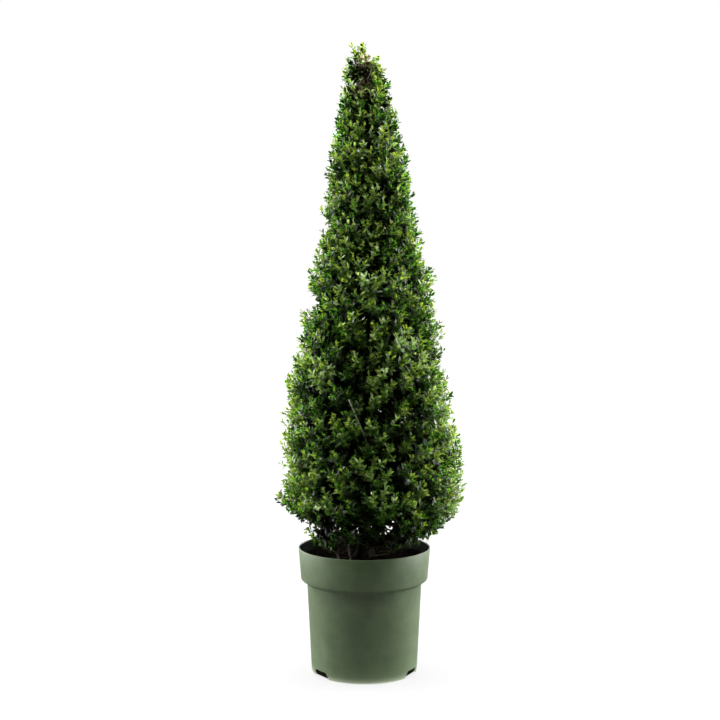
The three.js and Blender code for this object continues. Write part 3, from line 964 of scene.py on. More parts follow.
@dataclass(frozen=True)
class CrownFrame:
    """The clipped crown: every place in it is a turn, a radius and a level round the leader."""

    soil_top: float = 0.232
    rise: float = 0.55  # how steeply the tiers rise outwards
    foot: float = 0.175  # level of the underside, where it would meet the leader
    lobe_share: float = 0.05
    lobe_around: int = 3
    lobe_height: float = 0.060
    hem: Range = (0.267, 0.285)  # lowest leaves at the sides, and in front and behind
    hem_ripple: float = 0.006
    hem_waves: int = 7
    hem_phase: float = 1.0
    first_radius: float = 0.1  # where the search for the clipped face starts
    search_steps: int = 40
    leader: tuple[Knot, ...] = (
        (0.232, 0.000, 0.000),
        (0.480, 0.005, 0.003),
        (0.800, 0.008, -0.002),
        (1.050, 0.007, 0.001),
        (1.200, -0.002, 0.000),
        (1.267, -0.019, -0.001),
    )
    outline: tuple[Knot, ...] = (
        (0.236, 0.062, 0.066),
        (0.250, 0.100, 0.106),
        (0.263, 0.113, 0.122),
        (0.300, 0.121, 0.162),
        (0.330, 0.152, 0.182),
        (0.349, 0.178, 0.195),
        (0.385, 0.162, 0.202),
        (0.440, 0.166, 0.194),
        (0.507, 0.165, 0.182),
        (0.579, 0.158, 0.171),
        (0.652, 0.138, 0.157),
        (0.724, 0.127, 0.140),
        (0.795, 0.113, 0.137),
        (0.867, 0.093, 0.112),
        (0.950, 0.080, 0.098),
        (1.044, 0.068, 0.084),
        (1.138, 0.048, 0.056),
        (1.205, 0.041, 0.039),
        (1.232, 0.028, 0.012),
        (1.267, 0.029, -0.009),
    )

    @property
    def top(self) -> float:
        """Height of the topmost leaf."""
        return self.outline[-1][0]

    def leader_at(self, height: Points) -> Points:
        """Points on the leader's cubic line.

        Args:
            height: Heights of any shape.

        Returns:
            Points of that shape with a last axis of 3.
        """
        z = np.asarray(height, float)
        knots = np.array(self.leader)
        t, off = knots[:, 0], knots[:, 1:]
        i = np.clip(np.searchsorted(t, z, side="right"), 1, len(t) - 1)
        before = np.where(i >= 2, i - 2, i)
        after = np.where(i + 1 < len(t), i + 1, i - 1)
        half = (t[i] - t[i - 1]) / 2
        w0 = (half / (t[i - 1] - t[before]))[..., None]
        w1 = (half / (t[after] - t[i]))[..., None]
        p = np.clip((z - t[i - 1]) / (2 * half), 0, 1)[..., None]
        xy = (-w0 * p**3 + 2 * w0 * p**2 - w0 * p) * off[before]
        xy = xy + ((1 + w0) * p**3 + (-1.5 - 2 * w0) * p**2 + (w0 - 0.5) * p + 1) * off[i - 1]
        xy = xy + ((-1 - w1) * p**3 + (1.5 + w1) * p**2 + 0.5 * p) * off[i]
        xy = xy + (w1 * p**3 - w1 * p**2) * off[after]
        return np.concatenate((xy, z[..., None]), axis=-1)

    def reach_at(self, turn: Points, height: Points) -> Points:
        """How far the clipped face stands from the leader.

        Args:
            turn: Turns round the leader.
            height: Heights.

        Returns:
            The distances.
        """
        z, left, right = np.array(self.outline).T
        to_left, to_right = np.interp(height, z, left), np.interp(height, z, right)
        skew = (to_right - to_left) / 2 - self.leader_at(height)[..., 0]
        swell = np.sin(turn) ** 2 * np.sin(self.lobe_around * turn + np.asarray(height) / self.lobe_height)
        return ((to_left + to_right) / 2 + skew * np.cos(turn)) * (1 + self.lobe_share * swell)

    def point(self, turn: Points, radius: Points, level: Points) -> Points:
        """Points from turns, radii and levels; a level is the height less the tier's rise."""
        out = np.stack((np.cos(turn) * radius, np.sin(turn) * radius, np.zeros_like(radius)), axis=-1)
        return self.leader_at(level + self.rise * np.asarray(radius)) + out

    def overhang(self, points: Points) -> Points:
        """How far points stand out of the clipped face.

        Args:
            points: The points.

        Returns:
            The distances, below nothing for points inside.
        """
        off = points - self.leader_at(points[..., 2])
        turn = np.arctan2(off[..., 1], off[..., 0])
        return np.hypot(off[..., 0], off[..., 1]) - self.reach_at(turn, points[..., 2])

    def outer_radius(self, turn: Points, level: Points) -> Points:
        """Where levels meet the clipped face.

        Args:
            turn: Turns round the leader.
            level: Levels.

        Returns:
            The radii.
        """
        radius = np.full(np.broadcast(turn, level).shape, self.first_radius)
        for _ in range(self.search_steps):
            reach = np.maximum(self.reach_at(turn, level + self.rise * radius), 0.0)
            radius = (radius + reach) / 2
        return radius

    def level_of_edge(self, height: float) -> float:
        """The level whose edge behind the leader lies at a height."""
        return height - self.rise * float(self.reach_at(np.array(math.pi / 2), np.array(height)))

    def over_hem(self, points: Points) -> Points:
        """How far points lie over the crown's ragged lower edge.

        Args:
            points: The points.

        Returns:
            The heights, below nothing for points under it.
        """
        turn = np.arctan2(points[..., 1], points[..., 0])
        hem = mix(self.hem[1], self.hem[0], np.cos(turn) ** 2)
        return points[..., 2] - hem - self.hem_ripple * np.sin(self.hem_waves * turn + self.hem_phase)

    def above_soil(self, points: Points, clear: float) -> Points:
        """Lifts points that lie too low.

        Args:
            points: The points.
            clear: The least clearance over the soil.

        Returns:
            The points, none lower than that.
        """
        lifted = points.copy()
        lifted[..., 2] = np.maximum(lifted[..., 2], self.soil_top + clear)
        return lifted


@dataclass(frozen=True)
class MassSpace:
    """The wedge round the leader that one mass of foliage keeps to."""

    name: str
    low: float  # level of its underside
    high: float  # level of its top
    half: float  # half of its width, as a turn
    turn: float  # of its middle
    slim: float  # thickness of its limbs, in shares of those of a broad mass
    seed: int

    @property
    def whole(self) -> bool:
        """True for the topmost mass, which goes all the way round."""
        return self.half >= math.pi


@dataclass(frozen=True)
class CrownPlan:
    """Tiers of masses from the bottom up, as in the part's source.

    A tier has its name, the height of its upper edge behind the leader, its number of masses and the turn
    of the first in degrees.
    """

    tiers: tuple[tuple[str, float, int, float], ...] = (
        ("skirt", 0.425, 4, -72),
        ("lower", 0.590, 4, -100),
        ("middle", 0.740, 4, -70),
        ("upper", 0.890, 3, -95),
        ("shoulder", 1.040, 3, -75),
        ("crest", 1.185, 2, -110),
        ("tip", 1.278, 1, 180),
    )
    full_reach: float = 0.150
    least_slim: float = 0.45
    first_seed: int = 24
    seed_step: int = 17

    def spaces(self, crown: CrownFrame) -> list[MassSpace]:
        """Divides the crown into the spaces of its masses.

        Args:
            crown: The clipped crown.

        Returns:
            The spaces, from the bottom up.
        """
        found: list[MassSpace] = []
        low = crown.foot
        for tier, up_to, count, turn_deg in self.tiers:
            high = crown.level_of_edge(up_to)
            half = math.pi / count
            for index in range(count):
                turn = math.radians(turn_deg) + 2 * half * index
                reach = float(crown.outer_radius(np.array(turn), np.array((low + high) / 2)))
                slim = min(max(reach / self.full_reach, self.least_slim), 1.0)
                name = tier if count == 1 else f"{tier}_{index + 1}"
                seed = self.first_seed + self.seed_step * len(found)
                found.append(MassSpace(name, low, high, half, turn, slim, seed))
            low = high
        return found


# Trunk, boughs and basal shoots


@dataclass(frozen=True)
class BarkLimb:
    """A limb with the bark's relief, rolled from a grid along its centre line."""

    name: str
    centre: Callable[[float], Points]
    radius: Callable[[float, float], float]
    sides: int
    rings: int
    relief: float = 0.06  # of its radius
    ridge_waves: Range = (2.6, 34.0)  # round it and along it
    knot: float = 0.10
    knot_waves: Range = (0.7, 21.0)
    knot_slice: float = 9.0  # where the knots are cut out of the noise
    sharp_deg: float = 50.0

    def mesh(self) -> bpy.types.Mesh:
        """Rolls the grid into a closed limb.

        Returns:
            The limb.
        """
        bm = bmesh.new()
        bmesh.ops.create_grid(bm, x_segments=self.sides, y_segments=self.rings, size=0.5)
        for vert in bm.verts:
            angle, along = (vert.co.x + 0.5) * FULL_TURN, vert.co.y + 0.5
            spoke = Vector((math.cos(angle), math.sin(angle), 0))
            centre = Vector(self.centre(along))
            around, up = self.ridge_waves
            ridge = noise.noise(Vector((spoke.x * around, spoke.y * around, centre.z * up)))
            around, up = self.knot_waves
            lump = noise.noise(Vector((spoke.x * around, spoke.y * around, centre.z * up + self.knot_slice)))
            width = self.radius(along, angle) * (1 + self.relief * ridge + self.knot * lump)
            vert.co = centre + spoke * width
        bmesh.ops.remove_doubles(bm, verts=bm.verts, dist=SAME)
        bmesh.ops.holes_fill(bm, edges=[edge for edge in bm.edges if edge.is_boundary])
        bmesh.ops.recalc_face_normals(bm, faces=bm.faces)
        return mesh_of(bm, self.name, self.sharp_deg)


def straight_limb(name: str, ends: tuple[Points, Points], radii: Range, sides: int, rings: int) -> BarkLimb:
    """A limb that runs straight from its foot to its tip and thins evenly."""
    return BarkLimb(
        name,
        centre=lambda along: mix(*ends, along),
        radius=lambda along, _: mix(*radii, along),
        sides=sides,
        rings=rings,
    )


@dataclass(frozen=True)
class Trunk:
    """The leader, from its flared foot in the soil to its tip in the top tuft."""

    crown: CrownFrame
    foot_radius: float = 0.0125
    tip_radius: float = 0.0026
    tip_height: float = 1.168
    flare: float = 0.75
    flare_height: float = 0.022
    buttresses: int = 5
    ridge_depth: float = 0.35
    crowding: float = 1.5  # how much closer together its rings are at the foot
    sides: int = 32
    rings: int = 150

    @property
    def rise(self) -> float:
        """From its foot to its tip."""
        return self.tip_height - self.crown.soil_top

    def centre(self, along: float) -> Points:
        """The leader's point at a share along the rings."""
        return self.crown.leader_at(np.array(self.crown.soil_top + self.rise * along**self.crowding))

    def radius(self, along: float, angle: float) -> float:
        """Its taper with the flare's buttresses.

        Args:
            along: A share along the rings.
            angle: A turn round it.

        Returns:
            The radius there.
        """
        share = along**self.crowding
        foot = self.flare * math.exp(-share * self.rise / self.flare_height)
        ridge = 1 + self.ridge_depth * foot * math.cos(self.buttresses * angle)
        return mix(self.foot_radius, self.tip_radius, share) * (1 + foot) * ridge

    def build(self, bark: bpy.types.Material) -> None:
        """Makes the trunk with its bark."""
        limb = BarkLimb("trunk_bark", self.centre, self.radius, self.sides, self.rings)
        seat(link(limb.mesh(), [bark]), Slot.BARK, "trunk")


@dataclass(frozen=True)
class Bough:
    """The limb from the leader to the bare middle of one mass."""

    crown: CrownFrame
    space: MassSpace
    rise: float = 1.15
    foot_radius: float = 0.0052
    tip_radius: float = 0.0034
    enter_at: float = 0.42
    inner_share: float = 0.32
    sides: int = 12
    rings: int = 18

    def ends(self) -> tuple[Points, Points]:
        """Its foot inside the leader and its tip.

        Returns:
            Both points.
        """
        turn = np.array(self.space.turn)
        level = np.array(mix(self.space.low, self.space.high, self.enter_at))
        radius = self.crown.outer_radius(turn, level) * self.inner_share
        tip = self.crown.point(turn, radius, level)
        lowest = self.crown.soil_top + 2 * self.foot_radius
        return self.crown.leader_at(np.maximum(tip[2] - self.rise * radius, lowest)), tip

    def build(self, bark: bpy.types.Material) -> None:
        """Makes the bough with its bark.

        Args:
            bark: The bark's material.
        """
        node = f"bough_{self.space.name}"
        radii = self.foot_radius * self.space.slim, self.tip_radius * self.space.slim
        limb = straight_limb(f"{node}_bark", self.ends(), radii, self.sides, self.rings)
        seat(link(limb.mesh(), [bark]), Slot.BARK, node)


@dataclass(frozen=True)
class BasalShoot:
    """A thin bare shoot that comes straight out of the soil."""

    node: str
    foot: Place
    tip: Place
    radii: Range
    sides: int = 10
    rings: int = 24

    def build(self, bark: bpy.types.Material) -> None:
        """Makes the shoot with its bark.

        Args:
            bark: The bark's material.
        """
        ends = np.array(self.foot), np.array(self.tip)
        limb = straight_limb(f"{self.node}_bark", ends, self.radii, self.sides, self.rings)
        seat(link(limb.mesh(), [bark]), Slot.BARK, self.node)


BASAL_SHOOTS = (
    BasalShoot("basal_shoot_1", (-0.047, -0.072, 0.232), (-0.066, -0.066, 0.292), (0.0026, 0.0018)),
    BasalShoot("basal_shoot_2", (-0.027, -0.066, 0.232), (-0.033, -0.060, 0.280), (0.0022, 0.0016)),
)


# Foliage


@dataclass(frozen=True)
class LeafForm:
    """A small leaf folded along its midrib, given by rows across its blade."""

    length: float
    half_width: float  # in shares of its length
    rows: tuple[tuple[float, float], ...]  # how far along, and the share of the half width there
    fold: float = 0.34  # rise of the edges over the midrib, for each unit of half width
    curl: float = 0.13  # fall of the tip, in shares of the length
    thickness: float = 0.03  # at its midrib, in shares of the length; a leaf without is one sheet

    def blade(self) -> Points:
        """Corners of a leaf of length one: along, across and out of its face.

        Returns:
            The corners from its foot to its tip, with three to a row.
        """
        corners = [(0.0, 0.0, 0.0)]
        for along, width in self.rows:
            for side in (1, 0, -1):
                across = side * width * self.half_width
                corners.append((along, across, abs(across) * self.fold - self.curl * along**2))
        return np.array([*corners, (1.0, 0.0, -self.curl)])

    def faces(self) -> tuple[Points, Points]:
        """Corner numbers of a leaf's faces.

        Returns:
            The triangles at both ends, and the quads between the rows.
        """
        tip = 3 * len(self.rows) + 1
        ends = [(0, 2, 1), (0, 3, 2), (tip - 2, tip, tip - 3), (tip - 1, tip, tip - 2)]
        middles = [3 * row + 2 for row in range(len(self.rows) - 1)]
        sides = [(m + side, m + side + 3, m + side + 2, m + side - 1) for m in middles for side in (0, 1)]
        return np.array(ends), np.array(sides, int).reshape(-1, 4)

    def add_to(self, joined: JoinedMesh, leaves: "LeafSet") -> None:
        """Adds leaves to a joined mesh, with an under side if they have a thickness.

        Args:
            joined: The mesh that takes them.
            leaves: The leaves.
        """
        blade = self.blade()
        under = blade.copy()
        under[2:-1:3, 2] -= self.thickness
        frames = np.stack((leaves.ahead, np.cross(leaves.face, leaves.ahead), leaves.face), axis=1)
        shape = np.stack((np.ones_like(leaves.broad), leaves.broad, leaves.cup), axis=-1)
        scale = (leaves.length[:, None] * shape)[:, None]
        first = np.arange(len(leaves.root))[:, None, None] * len(blade)
        sides = ((blade, 1), (under, -1)) if self.thickness else ((blade, 1),)
        for side, order in sides:
            points = leaves.root[:, None] + (side[None] * scale) @ frames
            faces = []
            for part in self.faces():
                corners = (first + part[None, :, ::order]).reshape(-1, part.shape[1])
                faces.append((corners, np.repeat(leaves.tint, len(part))))
            joined.add(points.reshape(-1, 3), *faces)


OUTER_LEAF = LeafForm(length=0.0142, half_width=0.205, rows=((0.28, 0.82), (0.66, 1.0)))
SPRIG_LEAF = LeafForm(length=0.0150, half_width=0.275, rows=((0.28, 0.82), (0.66, 1.0)))
SHADED_LEAF = LeafForm(length=0.0136, half_width=0.23, rows=((0.55, 1.0),))
INNER_LEAF = LeafForm(length=0.0165, half_width=0.30, rows=((0.55, 1.0),), thickness=0.0)


@dataclass
class LeafSet:
    """Leaves as arrays with one row to a leaf."""

    root: Points
    ahead: Points  # from its root to its tip
    face: Points  # out of its upper side
    length: Points
    broad: Points  # its width, in shares of its form's
    cup: Points  # its fold and curl, in shares of its form's
    tint: Points

    def kept(self, keep: Points) -> "LeafSet":
        """The leaves for which keep is true."""
        return LeafSet(*(getattr(self, name)[keep] for name in self.__dataclass_fields__))


def add_tubes(joined: JoinedMesh, paths: Points, radii: Points, sides: int, tint: WoodTint) -> None:
    """Adds closed thin limbs to a joined mesh.

    Args:
        joined: The mesh that takes them.
        paths: Their centre lines, shape (n, k, 3).
        radii: Their radii, shape (n, k).
        sides: Corners of their section, 3 or 4.
        tint: Their colour.
    """
    count, steps = radii.shape
    way = unit(np.gradient(paths, axis=1))
    mean = np.abs(unit(paths[:, -1] - paths[:, 0]))
    aside = np.eye(3)[np.argmin(mean, axis=1)][:, None]
    right = unit(np.cross(way, aside))
    front = np.cross(way, right)
    angles = np.arange(sides) * FULL_TURN / sides
    ring = right[:, :, None] * np.cos(angles)[:, None] + front[:, :, None] * np.sin(angles)[:, None]
    points = paths[:, :, None] + ring * radii[:, :, None, None]
    step, corner = np.meshgrid(np.arange(steps - 1), np.arange(sides), indexing="ij")
    follow = (corner + 1) % sides
    here, above = step * sides, (step + 1) * sides
    walls = np.stack((here + corner, here + follow, above + follow, above + corner), axis=-1)
    caps = np.stack((np.arange(sides)[::-1], np.arange(sides) + (steps - 1) * sides))
    first = np.arange(count)[:, None, None] * (steps * sides)
    faces = []
    for part in (walls.reshape(-1, 4), caps):
        corners = (first + part[None]).reshape(-1, part.shape[1])
        faces.append((corners, np.full(count * len(part), int(tint))))
    joined.add(points.reshape(-1, 3), *faces)


@dataclass(frozen=True)
class BareTwig:
    """A bare grey twig that shows at the front of one mass."""

    mass: str
    foot: Place
    tip: Place
    radii: Range
    steps: int = 9

    def tube(self) -> tuple[Points, Points]:
        """Its centre line and its radii.

        Returns:
            Both, as a set of one tube.
        """
        share = np.linspace(0, 1, self.steps)
        path = mix(np.array(self.foot), np.array(self.tip), share[:, None])
        return path[None], mix(*self.radii, share)[None]


BARE_TWIGS = (
    BareTwig("lower_1", (0.020, -0.126, 0.447), (-0.030, -0.148, 0.568), (0.0020, 0.0013)),
    BareTwig("tip", (0.005, -0.028, 1.180), (0.014, -0.032, 1.202), (0.0008, 0.0005)),
    BareTwig("tip", (-0.011, -0.028, 1.174), (-0.002, -0.034, 1.187), (0.0009, 0.0006)),
)


@dataclass
class TwigSet:
    """The twigs of one mass as arrays with one row to a twig; each carries a tuft of shoots."""

    turn: Points
    level: Points
    knot: Points  # where it leaves the stem
    fork: Points  # where it bends outwards
    end: Points
    aim: Points  # the middle of its tuft on the clipped face
    vigour: Points
    sink: Points  # how far its tuft falls back from the clipped face

    def at(self, near: Points, share: Points) -> tuple[Points, Points]:
        """Points on the given twigs and the directions there."""
        curve = self.knot[near], self.fork[near], self.end[near], share[:, None]
        return bezier(*curve)[:, 0], bezier_way(*curve)[:, 0]


@dataclass(frozen=True)
class ShootLayer:
    """One layer of leafy shoots under the clipped face."""

    spacing: float
    inset: Range  # how far its tips lie under the clipped face
    stand_out: float  # share of shoots that reach past it
    vigour: Range  # from old dark growth to fresh pale growth; the deeper layers' low ranges also paint shade inside the crown
    leaves: int
    form: LeafForm
    woody: WoodTint


@dataclass
class ShootSet:
    """Leafy shoots as arrays with one row to a shoot."""

    start: Points
    bend: Points
    tip: Points
    young: Points  # colour of the leaves at its tip
    old: Points  # colour of those further back


@dataclass(frozen=True)
class Sprig:
    """A loose sprig that grows out of one mass."""

    mass: str
    foot: Place
    tip: Place
    young: LeafTint
    old: LeafTint
    leaves: int = 12
    bow: Place = (0.0, 0.0, 0.004)  # how far its middle is pushed aside


SPRIGS = (
    Sprig("tip", (-0.014, -0.002, 1.212), (-0.025, -0.005, 1.252), LeafTint.LIME, LeafTint.MID),
    Sprig("tip", (-0.010, -0.002, 1.212), (-0.005, -0.006, 1.249), LeafTint.MID, LeafTint.FRESH),
    Sprig("tip", (-0.010, -0.002, 1.205), (-0.001, -0.010, 1.238), LeafTint.MID, LeafTint.MID),
    Sprig("tip", (-0.012, -0.002, 1.200), (-0.020, -0.008, 1.238), LeafTint.MID, LeafTint.DARK),
    Sprig("tip", (-0.012, -0.002, 1.195), (-0.034, -0.012, 1.221), LeafTint.MID, LeafTint.MID),
    Sprig("tip", (-0.010, -0.002, 1.185), (-0.037, -0.014, 1.205), LeafTint.FRESH, LeafTint.MID),
    Sprig("tip", (0.004, -0.002, 1.195), (0.022, -0.016, 1.222), LeafTint.LIME, LeafTint.MID),
    Sprig("tip", (0.004, -0.002, 1.195), (0.032, -0.008, 1.216), LeafTint.FRESH, LeafTint.MID),
    Sprig("tip", (0.004, -0.002, 1.190), (0.026, -0.020, 1.207), LeafTint.FRESH, LeafTint.MID),
    Sprig("tip", (-0.012, -0.004, 1.200), (-0.015, -0.012, 1.231), LeafTint.MID, LeafTint.DARK),
    Sprig("tip", (-0.008, -0.004, 1.204), (-0.004, -0.012, 1.243), LeafTint.FRESH, LeafTint.MID),
    Sprig("tip", (-0.012, -0.004, 1.180), (-0.036, -0.016, 1.196), LeafTint.FRESH, LeafTint.MID),
    Sprig("tip", (-0.012, -0.002, 1.175), (-0.039, -0.006, 1.190), LeafTint.LIME, LeafTint.FRESH),
    Sprig("tip", (0.004, -0.004, 1.188), (0.014, -0.020, 1.213), LeafTint.MID, LeafTint.MID),
    Sprig("tip", (0.004, -0.002, 1.190), (0.026, -0.012, 1.221), LeafTint.FRESH, LeafTint.MID),
    Sprig("tip", (0.006, -0.004, 1.185), (0.038, -0.012, 1.204), LeafTint.MID, LeafTint.DARK),
    Sprig("tip", (-0.006, -0.012, 1.198), (-0.007, -0.024, 1.224), LeafTint.DRY, LeafTint.BRONZE),
    Sprig("tip", (-0.001, -0.012, 1.200), (0.002, -0.024, 1.227), LeafTint.DRY, LeafTint.DRY),
    Sprig("tip", (0.002, -0.012, 1.196), (0.008, -0.024, 1.222), LeafTint.DRY, LeafTint.BRONZE),
    Sprig("skirt_4", (-0.092, -0.008, 0.318), (-0.116, -0.010, 0.288), LeafTint.FRESH, LeafTint.MID),
    Sprig("skirt_4", (-0.084, -0.018, 0.314), (-0.103, -0.022, 0.282), LeafTint.MID, LeafTint.DARK),
    Sprig("skirt_2", (0.110, -0.040, 0.325), (0.140, -0.046, 0.287), LeafTint.MID, LeafTint.DARK),
    Sprig("skirt_2", (0.100, -0.050, 0.320), (0.124, -0.060, 0.281), LeafTint.MID, LeafTint.DARK),
)


@dataclass(frozen=True)
class Trim:
    """A place where the clipped face stands out, or falls back where its depth is below nothing."""

    middle: Place
    half: Place  # how far it reaches each way
    out: float

    def shift(self, points: Points) -> Points:
        """How far the face is shifted at points on it."""
        off = np.sum(((points - np.array(self.middle)) / np.array(self.half)) ** 2, axis=-1)
        return self.out * np.maximum(1 - off**2, 0.0)


TRIMS = (
    Trim((-0.118, 0.0, 0.755), (0.05, 0.10, 0.025), -0.034),
    Trim((-0.090, 0.0, 0.903), (0.05, 0.08, 0.014), -0.024),
    Trim((-0.112, 0.0, 0.806), (0.05, 0.05, 0.018), 0.010),
    Trim((-0.140, -0.03, 0.318), (0.08, 0.20, 0.028), -0.056),
    Trim((-0.168, 0.0, 0.354), (0.05, 0.06, 0.018), 0.009),
    Trim((-0.155, 0.0, 0.401), (0.05, 0.05, 0.012), 0.008),
    Trim((0.108, 0.0, 0.863), (0.05, 0.05, 0.012), 0.012),
    Trim((0.125, 0.0, 0.803), (0.05, 0.05, 0.026), 0.008),
    Trim((0.145, 0.0, 0.694), (0.05, 0.05, 0.024), 0.010),
    Trim((0.165, 0.0, 0.563), (0.05, 0.05, 0.014), 0.011),
    Trim((0.168, 0.0, 0.541), (0.05, 0.08, 0.011), -0.010),
    Trim((0.182, 0.0, 0.474), (0.05, 0.05, 0.020), 0.012),
    Trim((0.185, 0.0, 0.424), (0.05, 0.05, 0.016), 0.010),
    Trim((0.190, 0.0, 0.381), (0.05, 0.05, 0.012), 0.004),
    Trim((0.172, 0.0, 0.322), (0.05, 0.06, 0.018), 0.011),
    Trim((0.085, 0.0, 1.060), (0.05, 0.06, 0.012), -0.009),
    Trim((-0.003, -0.040, 1.188), (0.02, 0.03, 0.030), -0.017),
)


def trimmed(points: Points) -> Points:
    """How far all trims together shift the clipped face at points on it."""
    return sum(trim.shift(points) for trim in TRIMS)


# Vigour at which sprays take the next young and old leaf colours
TINT_STEPS = (0.12, 0.43, 0.63, 0.80, 0.94)
YOUNG_TINTS = (LeafTint.DEEP, LeafTint.DARK, LeafTint.MID, LeafTint.FRESH, LeafTint.LIME, LeafTint.PALE)
OLD_TINTS = (LeafTint.DEEP, LeafTint.DEEP, LeafTint.DARK, LeafTint.MID, LeafTint.FRESH, LeafTint.FRESH)


@dataclass(frozen=True)
class WitheredPatch:
    """The dead patch near the top: brown leaves, paler at its upper edge."""

    middle: Place = (-0.004, -0.025, 1.192)
    half: Place = (0.018, 0.035, 0.034)
    share: float = 0.80  # of the shoots in it that are dead
    pale_from: float = 1.210

    def holds(self, points: Points) -> Points:
        """True for points inside the patch."""
        off = np.abs(points - np.array(self.middle)) / np.array(self.half)
        return off.max(axis=-1) < 1


WITHERED = WitheredPatch()


@dataclass(frozen=True)
class LeafHabit:
    """How leaves sit on a shoot; their age runs from 0 at its tip to 1 at its last leaf.

    A rate tells how fast a size comes to its full value with age, and a spread how much leaves differ.
    """

    gap: Range = (0.0012, 0.0046)  # between leaves, at the tip and at full age
    gap_rate: float = 2.0
    gap_spread: Range = (0.85, 1.15)
    leafy_share: float = 0.85  # of a shoot's length
    least_share: float = 0.02
    slant: Place = (0.31, 0.17, 0.93)  # a direction that hardly any shoot takes
    turn_error: float = 0.2
    angle: Range = (math.radians(14), math.radians(64))  # from the shoot, at the tip and at full age
    angle_rate: float = 1.6
    angle_power: float = 0.7
    angle_error: float = 0.12
    face_up: float = 0.30  # how much the faces turn to the sky
    face_error: float = 0.16
    size: Range = (0.62, 1.0)
    size_rate: float = 3.2
    shoot_spread: Range = (0.86, 1.14)
    leaf_spread: Range = (0.88, 1.12)
    young_until: Range = (0.35, 0.75)  # the age at which a shoot's leaves take their old colour
    broad: Range = (0.88, 1.15)
    cup: Range = (0.5, 1.3)

    def on_shoots(self, shoots: ShootSet, form: LeafForm, most: int, rng: np.random.Generator) -> LeafSet:
        """Sets leaves by turns round each shoot, from its tip back.

        Args:
            shoots: The shoots.
            form: The leaves' form.
            most: How many leaves a shoot has at most.
            rng: Seeded numbers.

        Returns:
            The leaves.
        """
        count, length = len(shoots.tip), np.linalg.norm(shoots.tip - shoots.start, axis=1)[:, None]
        rank = np.arange(most)
        age = rank / (most - 1)
        gaps = mix(*self.gap, np.minimum(self.gap_rate * age, 1.0))
        back = (np.cumsum(gaps) - gaps[0])[None] * rng.uniform(*self.gap_spread, (count, 1))
        curve = shoots.start, shoots.bend, shoots.tip, np.clip(1 - back / length, self.least_share, 1.0)
        way = bezier_way(*curve)
        aside = unit(np.cross(way, np.array(self.slant)))
        upper = np.cross(way, aside)
        turned = rank * GOLDEN_TURN + rng.uniform(0, FULL_TURN, (count, 1))
        turned = turned + rng.normal(0, self.turn_error, (count, most))
        out = aside * np.cos(turned)[..., None] + upper * np.sin(turned)[..., None]
        angle = mix(*self.angle, np.minimum(self.angle_rate * age, 1.0) ** self.angle_power)
        angle = angle + rng.normal(0, self.angle_error, (count, most))
        along, outward = np.cos(angle)[..., None], np.sin(angle)[..., None]
        ahead = way * along + out * outward
        face = way * outward - out * along
        face = face + self.face_up * UP + rng.normal(0, self.face_error, face.shape)
        face = unit(face - ahead * np.sum(face * ahead, axis=-1, keepdims=True))
        size = mix(*self.size, np.minimum(self.size_rate * age, 1.0))
        size = size * rng.uniform(*self.shoot_spread, (count, 1))
        size = size * rng.uniform(*self.leaf_spread, (count, most))
        young = age[None] < rng.uniform(*self.young_until, (count, 1))
        flat = count * most
        leaves = LeafSet(
            root=bezier(*curve).reshape(flat, 3),
            ahead=ahead.reshape(flat, 3),
            face=face.reshape(flat, 3),
            length=(form.length * size).reshape(flat),
            broad=rng.uniform(*self.broad, flat),
            cup=rng.uniform(*self.cup, flat),
            tint=np.where(young, shoots.young[:, None], shoots.old[:, None]).reshape(flat),
        )
        return leaves.kept((back < self.leafy_share * length).reshape(flat))


